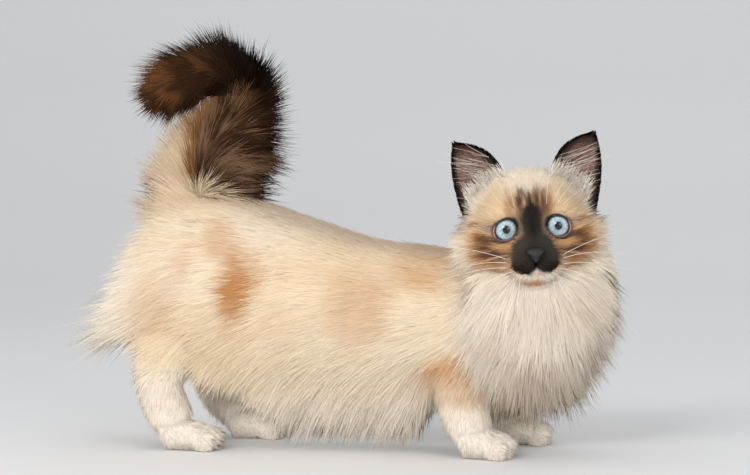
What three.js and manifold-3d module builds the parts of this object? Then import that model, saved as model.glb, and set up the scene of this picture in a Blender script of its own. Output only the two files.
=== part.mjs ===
// A standing long-haired munchkin cat, life size, in millimetres.
// +X runs along the spine towards the shoulders, +Y to the cat's left, +Z up. The soles stand at Z = 0.
// The cat looks to its right, so the head has a frame of its own, turned away from the spine.
import * as THREE from "three";
import { mergeVertices } from "three/addons/utils/BufferGeometryUtils.js";
import Module from "manifold-3d";

const wasm = await Module();
wasm.setup();

// Driving dimensions
const GAP = 0.35; // between two nodes that touch
const EYE_RADIUS = 10;
const EYE_SIDE = 18.2; // each pupil from the middle of the face
const EYE_FORWARD = 22; // centre of the eyeball ahead of the middle of the skull
const HEAD_CENTRE = [136.4, -43.7, 166];
const HEAD_TURN = -78; // degrees from the spine to the nose, seen from above
const HEAD_ROLL = 4.5; // degrees, the cat's left ear higher
const SOLE_TRIM = 3; // how much of each foot the floor takes off, which leaves its sole flat
const SEED = 7;
const ROOT_SCATTER = 0.012; // of a form's length, between one lock and the next
const ANGLE_SCATTER = 4; // degrees
const LENGTH_SCATTER = 0.16;
const WIDTH_SCATTER = 0.14;

const V = (x, y, z) => new THREE.Vector3(x, y, z);
const rad = THREE.MathUtils.degToRad;
const UP = V(0, 0, 1);

// The same pseudo-random numbers on every run.
let state = SEED;
function random() {
  state = (state * 16807) % 2147483647;
  return state / 2147483647;
}
const vary = (share) => 1 + share * (2 * random() - 1);

// Solids and meshes

function solid(geometry) {
  geometry.deleteAttribute("normal");
  geometry.deleteAttribute("uv");
  const merged = mergeVertices(geometry, 1e-4);
  const index = merged.index.array;
  const kept = [];
  for (let i = 0; i < index.length; i += 3) {
    const [a, b, c] = [index[i], index[i + 1], index[i + 2]];
    if (a !== b && b !== c && a !== c) kept.push(a, b, c);
  }
  const build = () =>
    new wasm.Manifold(
      new wasm.Mesh({
        numProp: 3,
        vertProperties: new Float32Array(merged.attributes.position.array),
        triVerts: new Uint32Array(kept),
      }),
    );
  const made = build();
  if (made.volume() > 0) return made;
  for (let i = 0; i < kept.length; i += 3) [kept[i], kept[i + 1]] = [kept[i + 1], kept[i]];
  return build();
}

const join = (solids) => solids.reduce((a, b) => a.add(b));

function largest(body) {
  const bodies = body.decompose();
  return bodies.reduce((a, b) => (a.volume() > b.volume() ? a : b));
}

function mesh(name, body, material) {
  const { vertProperties, triVerts } = largest(body).getMesh();
  const geometry = new THREE.BufferGeometry()
    .setAttribute("position", new THREE.BufferAttribute(vertProperties, 3))
    .setIndex(new THREE.BufferAttribute(triVerts, 1));
  geometry.computeVertexNormals();
  const made = new THREE.Mesh(geometry, material);
  made.name = name;
  return made;
}

// A body form: a run of oval sections along a curve, rounded at both ends
// Each station is [x, y, z, side, up, down]; side, up and down are the section's half sizes.
class Form {
  constructor(stations, { around = 24, along = 24, caps = [0.12, 0.12], reference = UP } = {}) {
    this.path = new THREE.CatmullRomCurve3(stations.map((s) => V(s[0], s[1], s[2])));
    this.sizes = new THREE.CatmullRomCurve3(stations.map((s) => V(s[3], s[4], s[5])));
    Object.assign(this, { around, along, caps, reference });
  }

  frame(t) {
    const tangent = this.path.getTangent(t);
    const side = tangent.clone().cross(this.reference).normalize();
    return { tangent, side, up: side.clone().cross(tangent) };
  }

  point(t, angle, grow = 0) {
    const { tangent, side, up } = this.frame(t);
    const size = this.sizes.getPoint(t);
    const [first, last] = this.caps;
    const near = t < first ? 1 - t / first : 0;
    const far = t > 1 - last ? 1 - (1 - t) / last : 0;
    const round = Math.sqrt(Math.max(0, 1 - Math.max(near, far) ** 2));
    const high = Math.sin(angle) > 0 ? size.y : size.z;
    return this.path
      .getPoint(t)
      .addScaledVector(side, Math.cos(angle) * (size.x + grow) * round)
      .addScaledVector(up, Math.sin(angle) * (high + grow) * round)
      .addScaledVector(tangent, grow * (far ** 2 - near ** 2));
  }

  normal(t, angle) {
    const step = 0.01;
    const along = this.point(t + step, angle).sub(this.point(t - step, angle));
    const across = this.point(t, angle + step).sub(this.point(t, angle - step));
    const out = along.cross(across).normalize();
    return out.dot(this.point(t, angle).sub(this.path.getPoint(t))) < 0 ? out.negate() : out;
  }

  // The whole form, or a length of it with flat ends where span gives its first and last t.
  solid(grow = 0, span = null) {
    const along = span ? Math.ceil(this.along * (span[1] - span[0])) + 2 : this.along;
    const sphere = new THREE.SphereGeometry(1, this.around, along);
    const place = sphere.attributes.position;
    for (let i = 0; i < place.count; i++) {
      let t = Math.acos(THREE.MathUtils.clamp(place.getY(i), -1, 1)) / Math.PI;
      const pole = t < 0.5 / along || t > 1 - 0.5 / along;
      if (span) t = THREE.MathUtils.lerp(...span, THREE.MathUtils.clamp((t * along - 1) / (along - 2), 0, 1));
      const angle = Math.atan2(place.getZ(i), place.getX(i));
      const at = span && pole ? this.path.getPoint(t) : this.point(t, angle, grow);
      place.setXYZ(i, at.x, at.y, at.z);
    }
    return solid(sphere);
  }
}

const tube = (points, radius, around = 6, along = 14) =>
  new Form(
    points.map((p) => [p.x, p.y, p.z, radius, radius, radius]),
    { around, along, caps: [0.08, 0.08] },
  );

// A lock of long hair: flat, tapered, bent from its root to its tip
const LOCK_RINGS = [
  [0, 0.8],
  [0.34, 1],
  [0.7, 0.66],
]; // how far along the lock each ring is, and its share of the full width
// Its thickness, its height half way and its tip's height and droop as shares of its length, and its buried root
const LOCK_SHAPE = { thick: 2.4, rise: 0.3, tip: 0.1, droop: 0.1, sink: 4 };
function lock({ root, normal, lie, length, width, ...shape }, grow = 0) {
  const { thick, rise, tip, droop, sink } = { ...LOCK_SHAPE, ...shape };
  const end = root.clone().addScaledVector(lie, length).addScaledVector(normal, tip * length);
  const curve = new THREE.QuadraticBezierCurve3(
    root.clone().addScaledVector(normal, -sink),
    root.clone().addScaledVector(lie, 0.5 * length).addScaledVector(normal, rise * length),
    end.addScaledVector(UP, -droop * length),
  );
  const rings = LOCK_RINGS.map(([s, share]) => {
    const tangent = curve.getTangent(s);
    const across = tangent.clone().cross(normal).normalize().multiplyScalar((width / 2) * share + (grow * width) / thick);
    const out = across.clone().cross(tangent).setLength(thick * share + 2 * grow);
    const at = curve.getPoint(s).addScaledVector(out, -grow / out.length());
    return [at.clone().add(across), at.clone().add(out), at.clone().sub(across)];
  });
  const peak = curve.getPoint(1).addScaledVector(curve.getTangent(1), 3 * grow);
  const positions = [];
  const triangle = (...points) => points.forEach((p) => positions.push(p.x, p.y, p.z));
  for (let k = 0; k < 3; k++) {
    const n = (k + 1) % 3;
    for (let r = 0; r + 1 < rings.length; r++) {
      triangle(rings[r][k], rings[r][n], rings[r + 1][k]);
      triangle(rings[r][n], rings[r + 1][n], rings[r + 1][k]);
    }
    triangle(rings.at(-1)[k], rings.at(-1)[n], peak);
  }
  triangle(rings[0][2], rings[0][1], rings[0][0]);
  const geometry = new THREE.BufferGeometry();
  geometry.setAttribute("position", new THREE.Float32BufferAttribute(positions, 3));
  return solid(geometry);
}

// The locks of a form's coat
// A row runs from one t and angle (in degrees) to another, and its lie takes the section's frame.
function coat(form, rows) {
  return rows.flatMap((row) => {
    const share = (i) => (row.count > 1 ? i / (row.count - 1) : 0.5);
    return Array.from({ length: row.count }, (_, i) => {
      const t = THREE.MathUtils.lerp(...row.t, share(i)) + ROOT_SCATTER * (random() - 0.5);
      const angle = rad(THREE.MathUtils.lerp(...row.angle, share(i)) + ANGLE_SCATTER * (random() - 0.5));
      const normal = form.normal(t, angle);
      const lie = row.lie(form.frame(t));
      lie.addScaledVector(normal, -lie.dot(normal)).normalize();
      return {
        ...row,
        root: form.point(t, angle),
        normal,
        lie,
        length: row.length * vary(LENGTH_SCATTER),
        width: row.width * vary(WIDTH_SCATTER),
      };
    });
  });
}
const locksOf = (list, grow = 0) => join(list.map((one) => lock(one, grow)));

// Torso
const torsoForm = new Form(
  [
    [-164, 0, 140, 34, 36, 44],
    [-146, 0, 136, 45, 48, 58],
    [-120, 0, 130, 54, 58, 72],
    [-88, 0, 123, 58, 65, 80],
    [-42, 0, 110, 59, 64, 72],
    [11, 0, 101, 60, 58, 66],
    [64, 0, 98, 59, 55, 62],
    [104, 0, 98, 55, 51, 56],
    [134, 0, 97, 47, 42, 48],
    [152, 0, 96, 39, 34, 41],
  ],
  { around: 18, along: 18, caps: [0.16, 0.16] },
);

// Neck, with the deep ruff under the chin
const neckForm = new Form(
  [
    [104, 4, 92, 46, 44, 44],
    [128, -12, 98, 50, 48, 46],
    [140, -28, 112, 50, 46, 46],
    [141, -38, 132, 50, 44, 42],
    [138, -42, 152, 48, 42, 40],
  ],
  { around: 16, along: 12, caps: [0.2, 0.14], reference: V(0, 1, 0) },
);

// Legs
// Each leg is a list of stations down from the body, and a foot.
const FORE_STATIONS = [
  [88, -34, 92, 17, 20, 20],
  [86, -36, 68, 18.5, 21, 20],
  [88, -39, 47, 18.5, 20, 20],
  [91, -41, 28, 17.5, 19, 18],
  [94, -42, 14, 16, 19, 17],
];
const HIND_STATIONS = [
  [-120, -30, 94, 14, 22, 26],
  [-128, -34, 74, 16, 22, 24],
  [-139, -39, 56, 16, 18, 19],
  [-137, -39, 36, 15, 16, 16],
  [-130, -39, 15, 15, 17, 15],
];
const FORE_FOOT = { heel: [88, -42, 12], toe: [117, -45, 10.5], wide: 18, high: 13 };
const HIND_FOOT = { heel: [-134, -39, 11], toe: [-101, -40, 10.5], wide: 17, high: 12 };
const FAR_FORE_STEP = 15; // the far forefoot stands this much further forward
const FAR_HIND_STEP = 29;

const TOES = [-1.5, -0.5, 0.5, 1.5];
function legSolid(stations, foot, side, step, grow = 0) {
  const shift = (s, share) => [s[0] + step * share, -side * s[1], ...s.slice(2)];
  const leg = new Form(
    stations.map((s, i) => shift(s, (i + 1) / stations.length)),
    { around: 10, along: 8, caps: [0.14, 0.12], reference: V(1, 0, 0) },
  );
  const heel = V(...shift(foot.heel, 1));
  const toe = V(...shift(foot.toe, 1));
  const ahead = toe.clone().sub(heel).setZ(0).normalize();
  const across = V(-ahead.y, ahead.x, 0);
  const oval = (at, wide, high, scale = 1) => [...at.toArray(), wide * scale, high * scale, at.z + SOLE_TRIM];
  const sole = new Form(
    [
      oval(heel.clone().addScaledVector(ahead, -9), foot.wide, foot.high + 3, 0.86),
      oval(heel, foot.wide, foot.high + 6),
      oval(heel.clone().lerp(toe, 0.55), foot.wide, foot.high + 2),
      oval(toe, foot.wide, foot.high - 2, 0.94),
      oval(toe.clone().addScaledVector(ahead, 7), foot.wide, foot.high - 3, 0.8),
    ],
    { around: 11, along: 6, caps: [0.3, 0.26] },
  );
  const toes = TOES.map((k) => {
    const reach = 10 - 2.2 * Math.abs(k);
    const from = toe.clone().addScaledVector(across, k * foot.wide * 0.42).addScaledVector(ahead, -8);
    const to = toe.clone().addScaledVector(across, k * foot.wide * 0.49).addScaledVector(ahead, reach);
    return new Form(
      [oval(from, 5.4, 6.5), oval(from.clone().lerp(to, 0.5), 5.6, 6.8), oval(to, 5.2, 4.6)],
      { around: 6, along: 4, caps: [0.3, 0.34] },
    ).solid(grow);
  });
  return join([leg.solid(grow), sole.solid(grow), ...toes]);
}

// The soles are trimmed level at Z = 0.
function aboveFloor(body) {
  const slab = new THREE.BoxGeometry(600, 400, 100);
  slab.translate(0, 0, -50);
  return body.subtract(solid(slab));
}

// Tail: up from the rump, out to the back and hooked forward over itself
const TAIL = [
  [-112, 0, 158, 18, 18, 18],
  [-122, 0, 186, 21, 21, 21],
  [-118, 3, 212, 20, 20, 20],
  [-99, 7, 238, 18, 18, 18],
  [-87, 5, 260, 17, 17, 17],
  [-100, -8, 277, 17, 17, 17],
  [-124, -18, 274, 16, 16, 16],
  [-143, -24, 262, 12, 12, 12],
];
const tailForm = new Form(TAIL, { around: 10, along: 26, caps: [0.06, 0.1], reference: V(0, 1, 0) });

// Head, in its own frame: +X to the cat's right, +Y ahead, +Z up
const headFrame = new THREE.Matrix4()
  .makeTranslation(...HEAD_CENTRE)
  .multiply(new THREE.Matrix4().makeRotationZ(rad(HEAD_TURN - 90)))
  .multiply(new THREE.Matrix4().makeRotationY(rad(HEAD_ROLL)));
const inHead = (body) => body.transform(headFrame.elements);

// [x, y, z, half width, half depth, half height]; a lump with x > 0 is on both sides.
const LUMPS = [
  [0, -6, 7, 43, 39, 35.5], // skull
  [25, 4, -12, 25, 25, 23], // cheeks
  [0, 9, -18, 26, 26, 18], // jaw
  [0, 25, -4, 7, 14, 14], // bridge of the nose
  [0, 31, -18, 10, 14, 9], // top of the muzzle
  [8, 32, -25, 10.5, 12, 8.5], // whisker pads
  [0, 29, -32.5, 9, 11, 7], // chin
  [17, 17, 9, 13, 13, 9], // brows
];
const BLEND = 5; // how softly the lumps run into one another
const SWELL = 3; // taken off again where they swell each other

function lumpDistance(p, [x, y, z, a, b, c]) {
  const [u, v, w] = [p.x - x, p.y - y, p.z - z];
  const k0 = Math.hypot(u / a, v / b, w / c);
  const k1 = Math.hypot(u / a / a, v / b / b, w / c / c);
  return k1 > 1e-9 ? (k0 * (k0 - 1)) / k1 : -Math.min(a, b, c);
}

function headDistance(p) {
  const folded = V(Math.abs(p.x), p.y, p.z);
  let sum = 0;
  for (const lump of LUMPS) sum += Math.exp(-lumpDistance(folded, lump) / BLEND);
  return SWELL - BLEND * Math.log(sum);
}

// The reach of the head from a point in a direction, by halving.
function reach(from, direction, grow = 0, far = 90) {
  let [low, high] = [0, far];
  for (let i = 0; i < 26; i++) {
    const middle = (low + high) / 2;
    if (headDistance(from.clone().addScaledVector(direction, middle)) < grow) low = middle;
    else high = middle;
  }
  return low;
}
const face = (x, z) => V(x, reach(V(x, 5, z), V(0, 1, 0)) + 5, z);

function headCore(grow = 0) {
  const sphere = new THREE.SphereGeometry(1, 26, 20);
  const place = sphere.attributes.position;
  for (let i = 0; i < place.count; i++) {
    // The pole faces ahead, and the rings crowd towards it, where the features are.
    const polar = Math.acos(THREE.MathUtils.clamp(place.getY(i), -1, 1)) / Math.PI;
    const open = Math.PI * (0.62 * polar + 0.38 * polar * polar);
    const turn = Math.atan2(place.getZ(i), place.getX(i));
    const ring = polar > 0.9999 || polar < 0.0001 ? 0 : Math.sin(open);
    const direction = V(Math.cos(turn) * ring, Math.cos(open), Math.sin(turn) * ring);
    const from = V(0, 2, -8);
    const at = from.clone().addScaledVector(direction, reach(from, direction, grow));
    place.setXYZ(i, at.x, at.y, at.z);
  }
  return solid(sphere);
}

const eyeCentre = (side) => V(side * EYE_SIDE, EYE_FORWARD, 0);

function ball(centre, radius, around = 14, along = 9) {
  const sphere = new THREE.SphereGeometry(radius, around, along);
  sphere.translate(centre.x, centre.y, centre.z);
  return solid(sphere);
}

// A lid is a roll over the eyeball, from the inner corner of the eye to the outer one.
function lid(side, bow) {
  const points = [];
  const over = EYE_RADIUS + 0.6;
  for (let i = 0; i <= 8; i++) {
    const turn = Math.PI * (i / 8);
    const along = -Math.cos(turn) * (i < 4 ? 9.3 : 9.0);
    const high = Math.sin(turn) * bow + (i < 4 ? -1.6 : 1.2) * Math.abs(Math.cos(turn));
    const ahead = Math.sqrt(Math.max(over ** 2 - along ** 2 - high ** 2, 6));
    points.push(eyeCentre(side).add(V(side * (along + 0.8), ahead, high)));
  }
  return tube(points, 1.7, 5, 9).solid();
}

function mouthGroove() {
  const lift = (p) => p.add(V(0, 0.3, 0));
  const philtrum = tube([-22, -25, -28.5].map((z) => lift(face(0, z))), 0.75, 4, 4).solid();
  const lips = [-1, 1].map((side) =>
    tube(
      [
        [0, -28.5],
        [4, -30],
        [8.5, -30.6],
        [12.5, -29],
        [15, -26.5],
      ].map(([x, z]) => lift(face(side * x, z))),
      0.8,
      4,
      7,
    ).solid(),
  );
  return join([philtrum, ...lips]);
}

// The leather of the nose: a rounded triangle with its point down.
const NOSE_CENTRE = [0, 43.8, -18.3];
const NOSE_HALF = [6.9, 5.4, 4.9];
function noseRaw(grow = 0) {
  const sphere = new THREE.SphereGeometry(1, 14, 10);
  const place = sphere.attributes.position;
  const [wide, deep, high] = NOSE_HALF;
  for (let i = 0; i < place.count; i++) {
    const [x, y, z] = [place.getX(i), place.getY(i), place.getZ(i)];
    const taper = 0.72 + 0.34 * z - 0.12 * z * z;
    place.setXYZ(i, x * (wide * taper + grow), y * (deep + grow), z * (high + grow) + 1.2 * x * x);
  }
  sphere.translate(...NOSE_CENTRE);
  return solid(sphere);
}

function nostril(side) {
  const sphere = new THREE.SphereGeometry(1, 8, 6);
  sphere.scale(1.9, 3, 1.15);
  sphere.rotateY(side * 0.5);
  sphere.translate(side * 3.9, NOSE_CENTRE[1] + 4.4, NOSE_CENTRE[2] - 1.1);
  return solid(sphere);
}

// Ears: a curved, tapering shell with an open cup
const EAR = {
  inner: [14.5, -2, 34],
  outer: [47, -10, 8],
  tip: [49, -12, 63],
  blunt: 8, // width of the rounded tip
  depth: 15,
  thick: 2.6,
};
const EARS_TO_LEFT = 2; // both ears sit this far to the cat's left of the middle of its face
function earSolid(side, grow = 0) {
  const [rows, columns] = [8, 7];
  const at = (u, v) => {
    const wide = Math.sqrt(Math.max(0, 1 - Math.max(0, u) ** 8)) * 0.96 + 0.04;
    const bulge = Math.sin(Math.PI * u);
    const half = V(EAR.blunt / 2, 0, -1.5);
    const inner = V(...EAR.inner).lerp(V(...EAR.tip).sub(half), u).add(V(-4.5, 0, 4).multiplyScalar(bulge));
    const outer = V(...EAR.outer).lerp(V(...EAR.tip).add(half), u).add(V(2.5, 0, 0).multiplyScalar(bulge));
    const middle = inner.clone().lerp(outer, 0.5);
    const bow = 1 - v * v;
    return middle
      .addScaledVector(outer.sub(inner), (v / 2) * wide)
      .add(V(4, -EAR.depth, 2).multiplyScalar(bow * (1 - 0.72 * u)));
  };
  const sheet = (out) => {
    const grid = [];
    for (let i = 0; i <= rows; i++) {
      for (let j = 0; j <= columns; j++) {
        const [u, v] = [i / rows, (2 * j) / columns - 1];
        const du = at(Math.min(u + 0.01, 1), v).sub(at(u - 0.01, v));
        const dv = at(u, v + 0.01).sub(at(u, v - 0.01));
        const normal = du.cross(dv).normalize();
        grid.push(at(u, v).addScaledVector(normal, out * ((EAR.thick / 2) * (1 - 0.45 * u) + grow)));
      }
    }
    return grid;
  };
  const [front, back] = [sheet(1), sheet(-1)];
  const positions = [];
  const triangle = (...points) => points.forEach((p) => positions.push(side * p.x - EARS_TO_LEFT, p.y, p.z));
  const index = (i, j) => i * (columns + 1) + j;
  for (let i = 0; i < rows; i++) {
    for (let j = 0; j < columns; j++) {
      const [a, b, c, d] = [index(i, j), index(i + 1, j), index(i + 1, j + 1), index(i, j + 1)];
      triangle(front[a], front[b], front[c]);
      triangle(front[a], front[c], front[d]);
      triangle(back[a], back[c], back[b]);
      triangle(back[a], back[d], back[c]);
    }
  }
  const rim = [];
  for (let i = 0; i < rows; i++) rim.push(index(i, 0));
  for (let j = 0; j < columns; j++) rim.push(index(rows, j));
  for (let i = rows; i > 0; i--) rim.push(index(i, columns));
  for (let j = columns; j > 0; j--) rim.push(index(0, j));
  rim.forEach((a, k) => {
    const b = rim[(k + 1) % rim.length];
    triangle(front[a], back[a], front[b]);
    triangle(back[a], back[b], front[b]);
  });
  const geometry = new THREE.BufferGeometry();
  geometry.setAttribute("position", new THREE.Float32BufferAttribute(positions, 3));
  return solid(geometry);
}

// Long coat
const BACK = V(-1, 0, 0);
const DOWN = V(0, 0, -1);
const lieDown = (lean) => () => DOWN.clone().addScaledVector(BACK, lean);
const lieBack = (drop) => () => BACK.clone().addScaledVector(DOWN, drop);
const mirrored = (row) => [row, { ...row, angle: row.angle.map((a) => 180 - a) }];

const TORSO_ROWS = [
  {
    t: [0.37, 0.64], angle: [6, 6], count: 4,
    length: 50, width: 32, lie: lieBack(0.5), rise: 0.1, tip: -0.02,
  },
  {
    t: [0.4, 0.67], angle: [-14, -14], count: 4,
    length: 50, width: 32, lie: lieBack(1), rise: 0.1, tip: -0.02,
  },
  {
    t: [0.35, 0.69], angle: [-36, -36], count: 7,
    length: 40, width: 24, lie: lieDown(0.5), rise: 0.16, tip: 0.04,
  },
  {
    t: [0.37, 0.68], angle: [-58, -58], count: 7,
    length: 38, width: 21, lie: lieDown(0.3), rise: 0.26, tip: 0.3,
  },
  {
    t: [0.4, 0.66], angle: [-76, -76], count: 5,
    length: 26, width: 19, lie: lieDown(0.6), rise: 0.5, tip: 0.62,
  },
  {
    t: [0.23, 0.22], angle: [-48, 40], count: 4,
    length: 48, width: 28, lie: lieBack(0.7), rise: 0.14, tip: 0.03,
  },
  {
    t: [0.12, 0.12], angle: [-66, 54], count: 5,
    length: 50, width: 24, lie: lieBack(1), rise: 0.2, tip: 0.2,
  },
  {
    t: [0.05, 0.05], angle: [-76, 40], count: 4,
    length: 50, width: 20, lie: lieBack(2), rise: 0.4, tip: 0.66,
  },
  {
    t: [0.71, 0.8], angle: [-8, -12], count: 3,
    length: 44, width: 24, lie: lieDown(0.5), rise: 0.14, tip: 0,
  },
  {
    t: [0.7, 0.8], angle: [-34, -36], count: 3,
    length: 30, width: 20, lie: lieDown(0.5), rise: 0.2, tip: 0.06,
  },
].flatMap(mirrored);

const away = (drop) => ({ tangent }) => tangent.clone().negate().addScaledVector(DOWN, drop);
const NECK_ROWS = [
  {
    t: [0.84, 0.84], angle: [-6, -200], count: 9,
    length: 36, width: 21, lie: away(0.5), rise: 0.26, tip: 0.2,
  },
  {
    t: [0.62, 0.62], angle: [-22, -228], count: 9,
    length: 40, width: 22, lie: away(0.6), rise: 0.24, tip: 0.2,
  },
  {
    t: [0.4, 0.4], angle: [-54, -238], count: 7,
    length: 42, width: 24, lie: away(0.9), rise: 0.24, tip: 0.2,
  },
];

const alongTail = (drop) => ({ tangent }) => tangent.clone().addScaledVector(DOWN, drop);
const TAIL_LOCK = { width: 24, thick: 3, lie: alongTail(0) };
const rings = (places, row) =>
  places.map((t, i) => ({ ...TAIL_LOCK, ...row, t: [t, t], angle: [36 * i, 36 * i + 288], count: 5 }));
const TAIL_ROWS = {
  tail_base: [
    { ...TAIL_LOCK, t: [0.06, 0.06], angle: [-58, 58], count: 3, length: 52, rise: 0.34, tip: 0.5 },
    ...rings([0.13, 0.24], { length: 44, rise: 0.42, tip: 0.52 }),
  ],
  tail_middle: rings([0.41, 0.5, 0.59], { length: 40, lie: alongTail(0.2), rise: 0.44, tip: 0.5 }),
  tail_tip: rings([0.73, 0.83, 0.93], { length: 36, width: 20, rise: 0.4, tip: 0.46 }),
};
const TAIL_ENDS = [0, 0.36, 0.67, 1];
const TAIL_GAP = 0.0012; // of the tail's length, on each side of a parting

// The head's own locks, in its frame: the cheeks from the ear round to the chin, and the tufts before each ear
const HEAD_ROWS = [
  { count: 4, from: [40, 0, 6], to: [26, 16, -32], length: 17, width: 18, lie: [0.8, -0.4, -1] },
  { count: 4, from: [43, -12, 2], to: [26, 4, -34], length: 22, width: 21, lie: [0.8, -0.5, -1] },
  { count: 2, from: [21, 3, 30], to: [29, 2, 24], length: 20, width: 8, lie: [1, 0.1, 0.7] },
];
function headLock(side, { from, to, lie, count, ...row }, i, grow) {
  const near = V(...from).lerp(V(...to), i / (count - 1));
  const centre = V(0, near.y, -8);
  const normal = near.sub(centre).normalize();
  const root = centre.addScaledVector(normal, reach(centre, normal));
  const flat = V(...lie);
  flat.addScaledVector(normal, -flat.dot(normal)).normalize();
  for (const v of [root, normal, flat]) v.x *= side;
  return lock({ ...row, root, normal, lie: flat, rise: 0.3, tip: 0.36, sink: 3 }, grow);
}
const headLocks = (grow = 0) =>
  join(
    [-1, 1].flatMap((side) =>
      HEAD_ROWS.flatMap((row) => Array.from({ length: row.count }, (_, i) => headLock(side, row, i, grow))),
    ),
  );

// Materials
const material = (color, roughness = 0.85) =>
  new THREE.MeshStandardMaterial({ color, roughness, metalness: 0 });
const CREAM = material(0xe4cba4);
const WHITE = material(0xeee5d6);
const FAWN = material(0xc49a6c);
const SEAL = material(0x3a261a);
const NOSE = material(0x16110f, 0.45);
const EYE = material(0xbfd9e6, 0.08);

// The cat
const torsoGrown = torsoForm.solid(GAP);
const headGrown = inHead(join([headCore(GAP), headLocks(GAP)]));

const legs = {
  foreleg_right: [FORE_STATIONS, FORE_FOOT, -1, 0],
  foreleg_left: [FORE_STATIONS, FORE_FOOT, 1, FAR_FORE_STEP],
  hindleg_right: [HIND_STATIONS, HIND_FOOT, -1, 0],
  hindleg_left: [HIND_STATIONS, HIND_FOOT, 1, FAR_HIND_STEP],
};
const legsGrown = join(Object.values(legs).map((leg) => legSolid(...leg, GAP)));

const neckLocks = coat(neckForm, NECK_ROWS);
const torsoLocks = coat(torsoForm, TORSO_ROWS);
const torsoBody = torsoForm
  .solid()
  .add(locksOf(torsoLocks).subtract(join([legsGrown, neckForm.solid(GAP)])))
  .subtract(join([headGrown, locksOf(neckLocks, GAP)]));
const neckBody = neckForm
  .solid()
  .add(locksOf(neckLocks))
  .subtract(join([torsoGrown, headGrown, legsGrown]));

function headBody() {
  const lids = [-1, 1].flatMap((side) => [lid(side, 8.6), lid(side, -8.0)]);
  const sockets = [-1, 1].map((side) => ball(eyeCentre(side), EYE_RADIUS + GAP));
  return join([headCore(), headLocks(), ...lids]).subtract(join([...sockets, mouthGroove(), noseRaw(GAP)]));
}

const cat = new THREE.Group();
cat.add(mesh("torso", torsoBody, CREAM));
cat.add(mesh("neck", neckBody, WHITE));
cat.add(mesh("head", inHead(headBody()), FAWN));
cat.add(mesh("nose", inHead(noseRaw().subtract(join([nostril(-1), nostril(1)]))), NOSE));
for (const [name, side] of Object.entries({ right: 1, left: -1 })) {
  cat.add(mesh("eye_" + name, inHead(ball(eyeCentre(side), EYE_RADIUS)), EYE));
  cat.add(mesh("ear_" + name, inHead(earSolid(side)).subtract(headGrown), SEAL));
}
for (const [name, leg] of Object.entries(legs)) {
  cat.add(mesh(name, aboveFloor(legSolid(...leg)).subtract(torsoGrown), WHITE));
}

let done = torsoGrown;
Object.entries(TAIL_ROWS).forEach(([name, rows], i) => {
  const span = [TAIL_ENDS[i] + (i ? TAIL_GAP : 0), TAIL_ENDS[i + 1] - (i < 2 ? TAIL_GAP : 0)];
  const locks = coat(tailForm, rows);
  const body = tailForm.solid(0, span).add(locksOf(locks));
  cat.add(mesh(name, body.subtract(done), i ? SEAL : CREAM));
  done = join([done, tailForm.solid(GAP, span), locksOf(locks, GAP)]);
});

// The origin is on the floor, below the middle of the box.
const middle = new THREE.Box3().setFromObject(cat, true).getCenter(new THREE.Vector3());
cat.position.set(-middle.x, -middle.y, 0);

export default cat;
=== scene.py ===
"""A standing long-haired munchkin cat, life size, as a still model.

Shapes are worked out in millimetres in the cat's own frame (+X along the spine to the
shoulders, +Y to its left, +Z up, soles at Z = 0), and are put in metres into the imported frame.
"""
import math

import bmesh
import bpy
import numpy as np
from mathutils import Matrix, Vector

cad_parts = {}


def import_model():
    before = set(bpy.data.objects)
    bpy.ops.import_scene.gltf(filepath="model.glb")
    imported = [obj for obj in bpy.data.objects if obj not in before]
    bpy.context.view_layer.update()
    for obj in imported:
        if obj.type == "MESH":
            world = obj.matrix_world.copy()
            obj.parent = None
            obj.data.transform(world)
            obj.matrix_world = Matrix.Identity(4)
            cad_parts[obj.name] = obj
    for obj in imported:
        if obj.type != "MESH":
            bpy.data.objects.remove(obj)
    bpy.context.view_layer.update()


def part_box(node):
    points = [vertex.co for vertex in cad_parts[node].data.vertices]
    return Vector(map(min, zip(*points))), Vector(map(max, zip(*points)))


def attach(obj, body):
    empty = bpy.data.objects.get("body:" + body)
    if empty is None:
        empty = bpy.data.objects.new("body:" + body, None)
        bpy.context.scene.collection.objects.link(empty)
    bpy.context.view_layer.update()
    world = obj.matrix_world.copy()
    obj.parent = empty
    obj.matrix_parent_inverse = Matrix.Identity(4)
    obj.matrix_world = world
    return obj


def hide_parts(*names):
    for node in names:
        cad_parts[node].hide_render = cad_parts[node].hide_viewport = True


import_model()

MM = 0.001
SEED = 11
rng = np.random.default_rng(SEED)

# Driving dimensions, in millimetres
HEAD_CENTRE = np.array([136.4, -43.7, 166.0])
HEAD_TURN = -78.0  # degrees from the spine to the nose, seen from above
HEAD_ROLL = 4.5  # degrees, the cat's left ear higher
EYE_RADIUS = 10.0
EYE_CENTRE = np.array([18.2, 22.0, 0.0])  # in the head's frame, for the cat's right side
NOSE_CENTRE = np.array([0.0, 43.8, -18.3])
VOXEL = 2.0
SOLE_LEVEL, HAIR_LEVEL = 0.3, 0.4  # the lowest the skin and the fur reach above the floor
BATCH = 40000  # points compared with a form at one time, to spare memory


# Small vector helpers
def V(*a):
    return np.array(a, float)


def unit(v):
    return v / np.maximum(np.linalg.norm(v, axis=-1, keepdims=True), 1e-9)


def dot(a, b):
    return np.sum(a * b, axis=-1, keepdims=True)


def ramp(x, low, high):
    t = np.clip((x - low) / (high - low), 0, 1)
    return t * t * (3 - 2 * t)


def mix(a, b, share):
    return a + (b - a) * share


# Noise that is the same on every run
def hashed(cells, salt):
    v = cells[..., 0] * 127.1 + cells[..., 1] * 311.7 + cells[..., 2] * 74.7 + salt * 53.3
    f = np.sin(v) * 43758.5453
    return f - np.floor(f)


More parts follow.
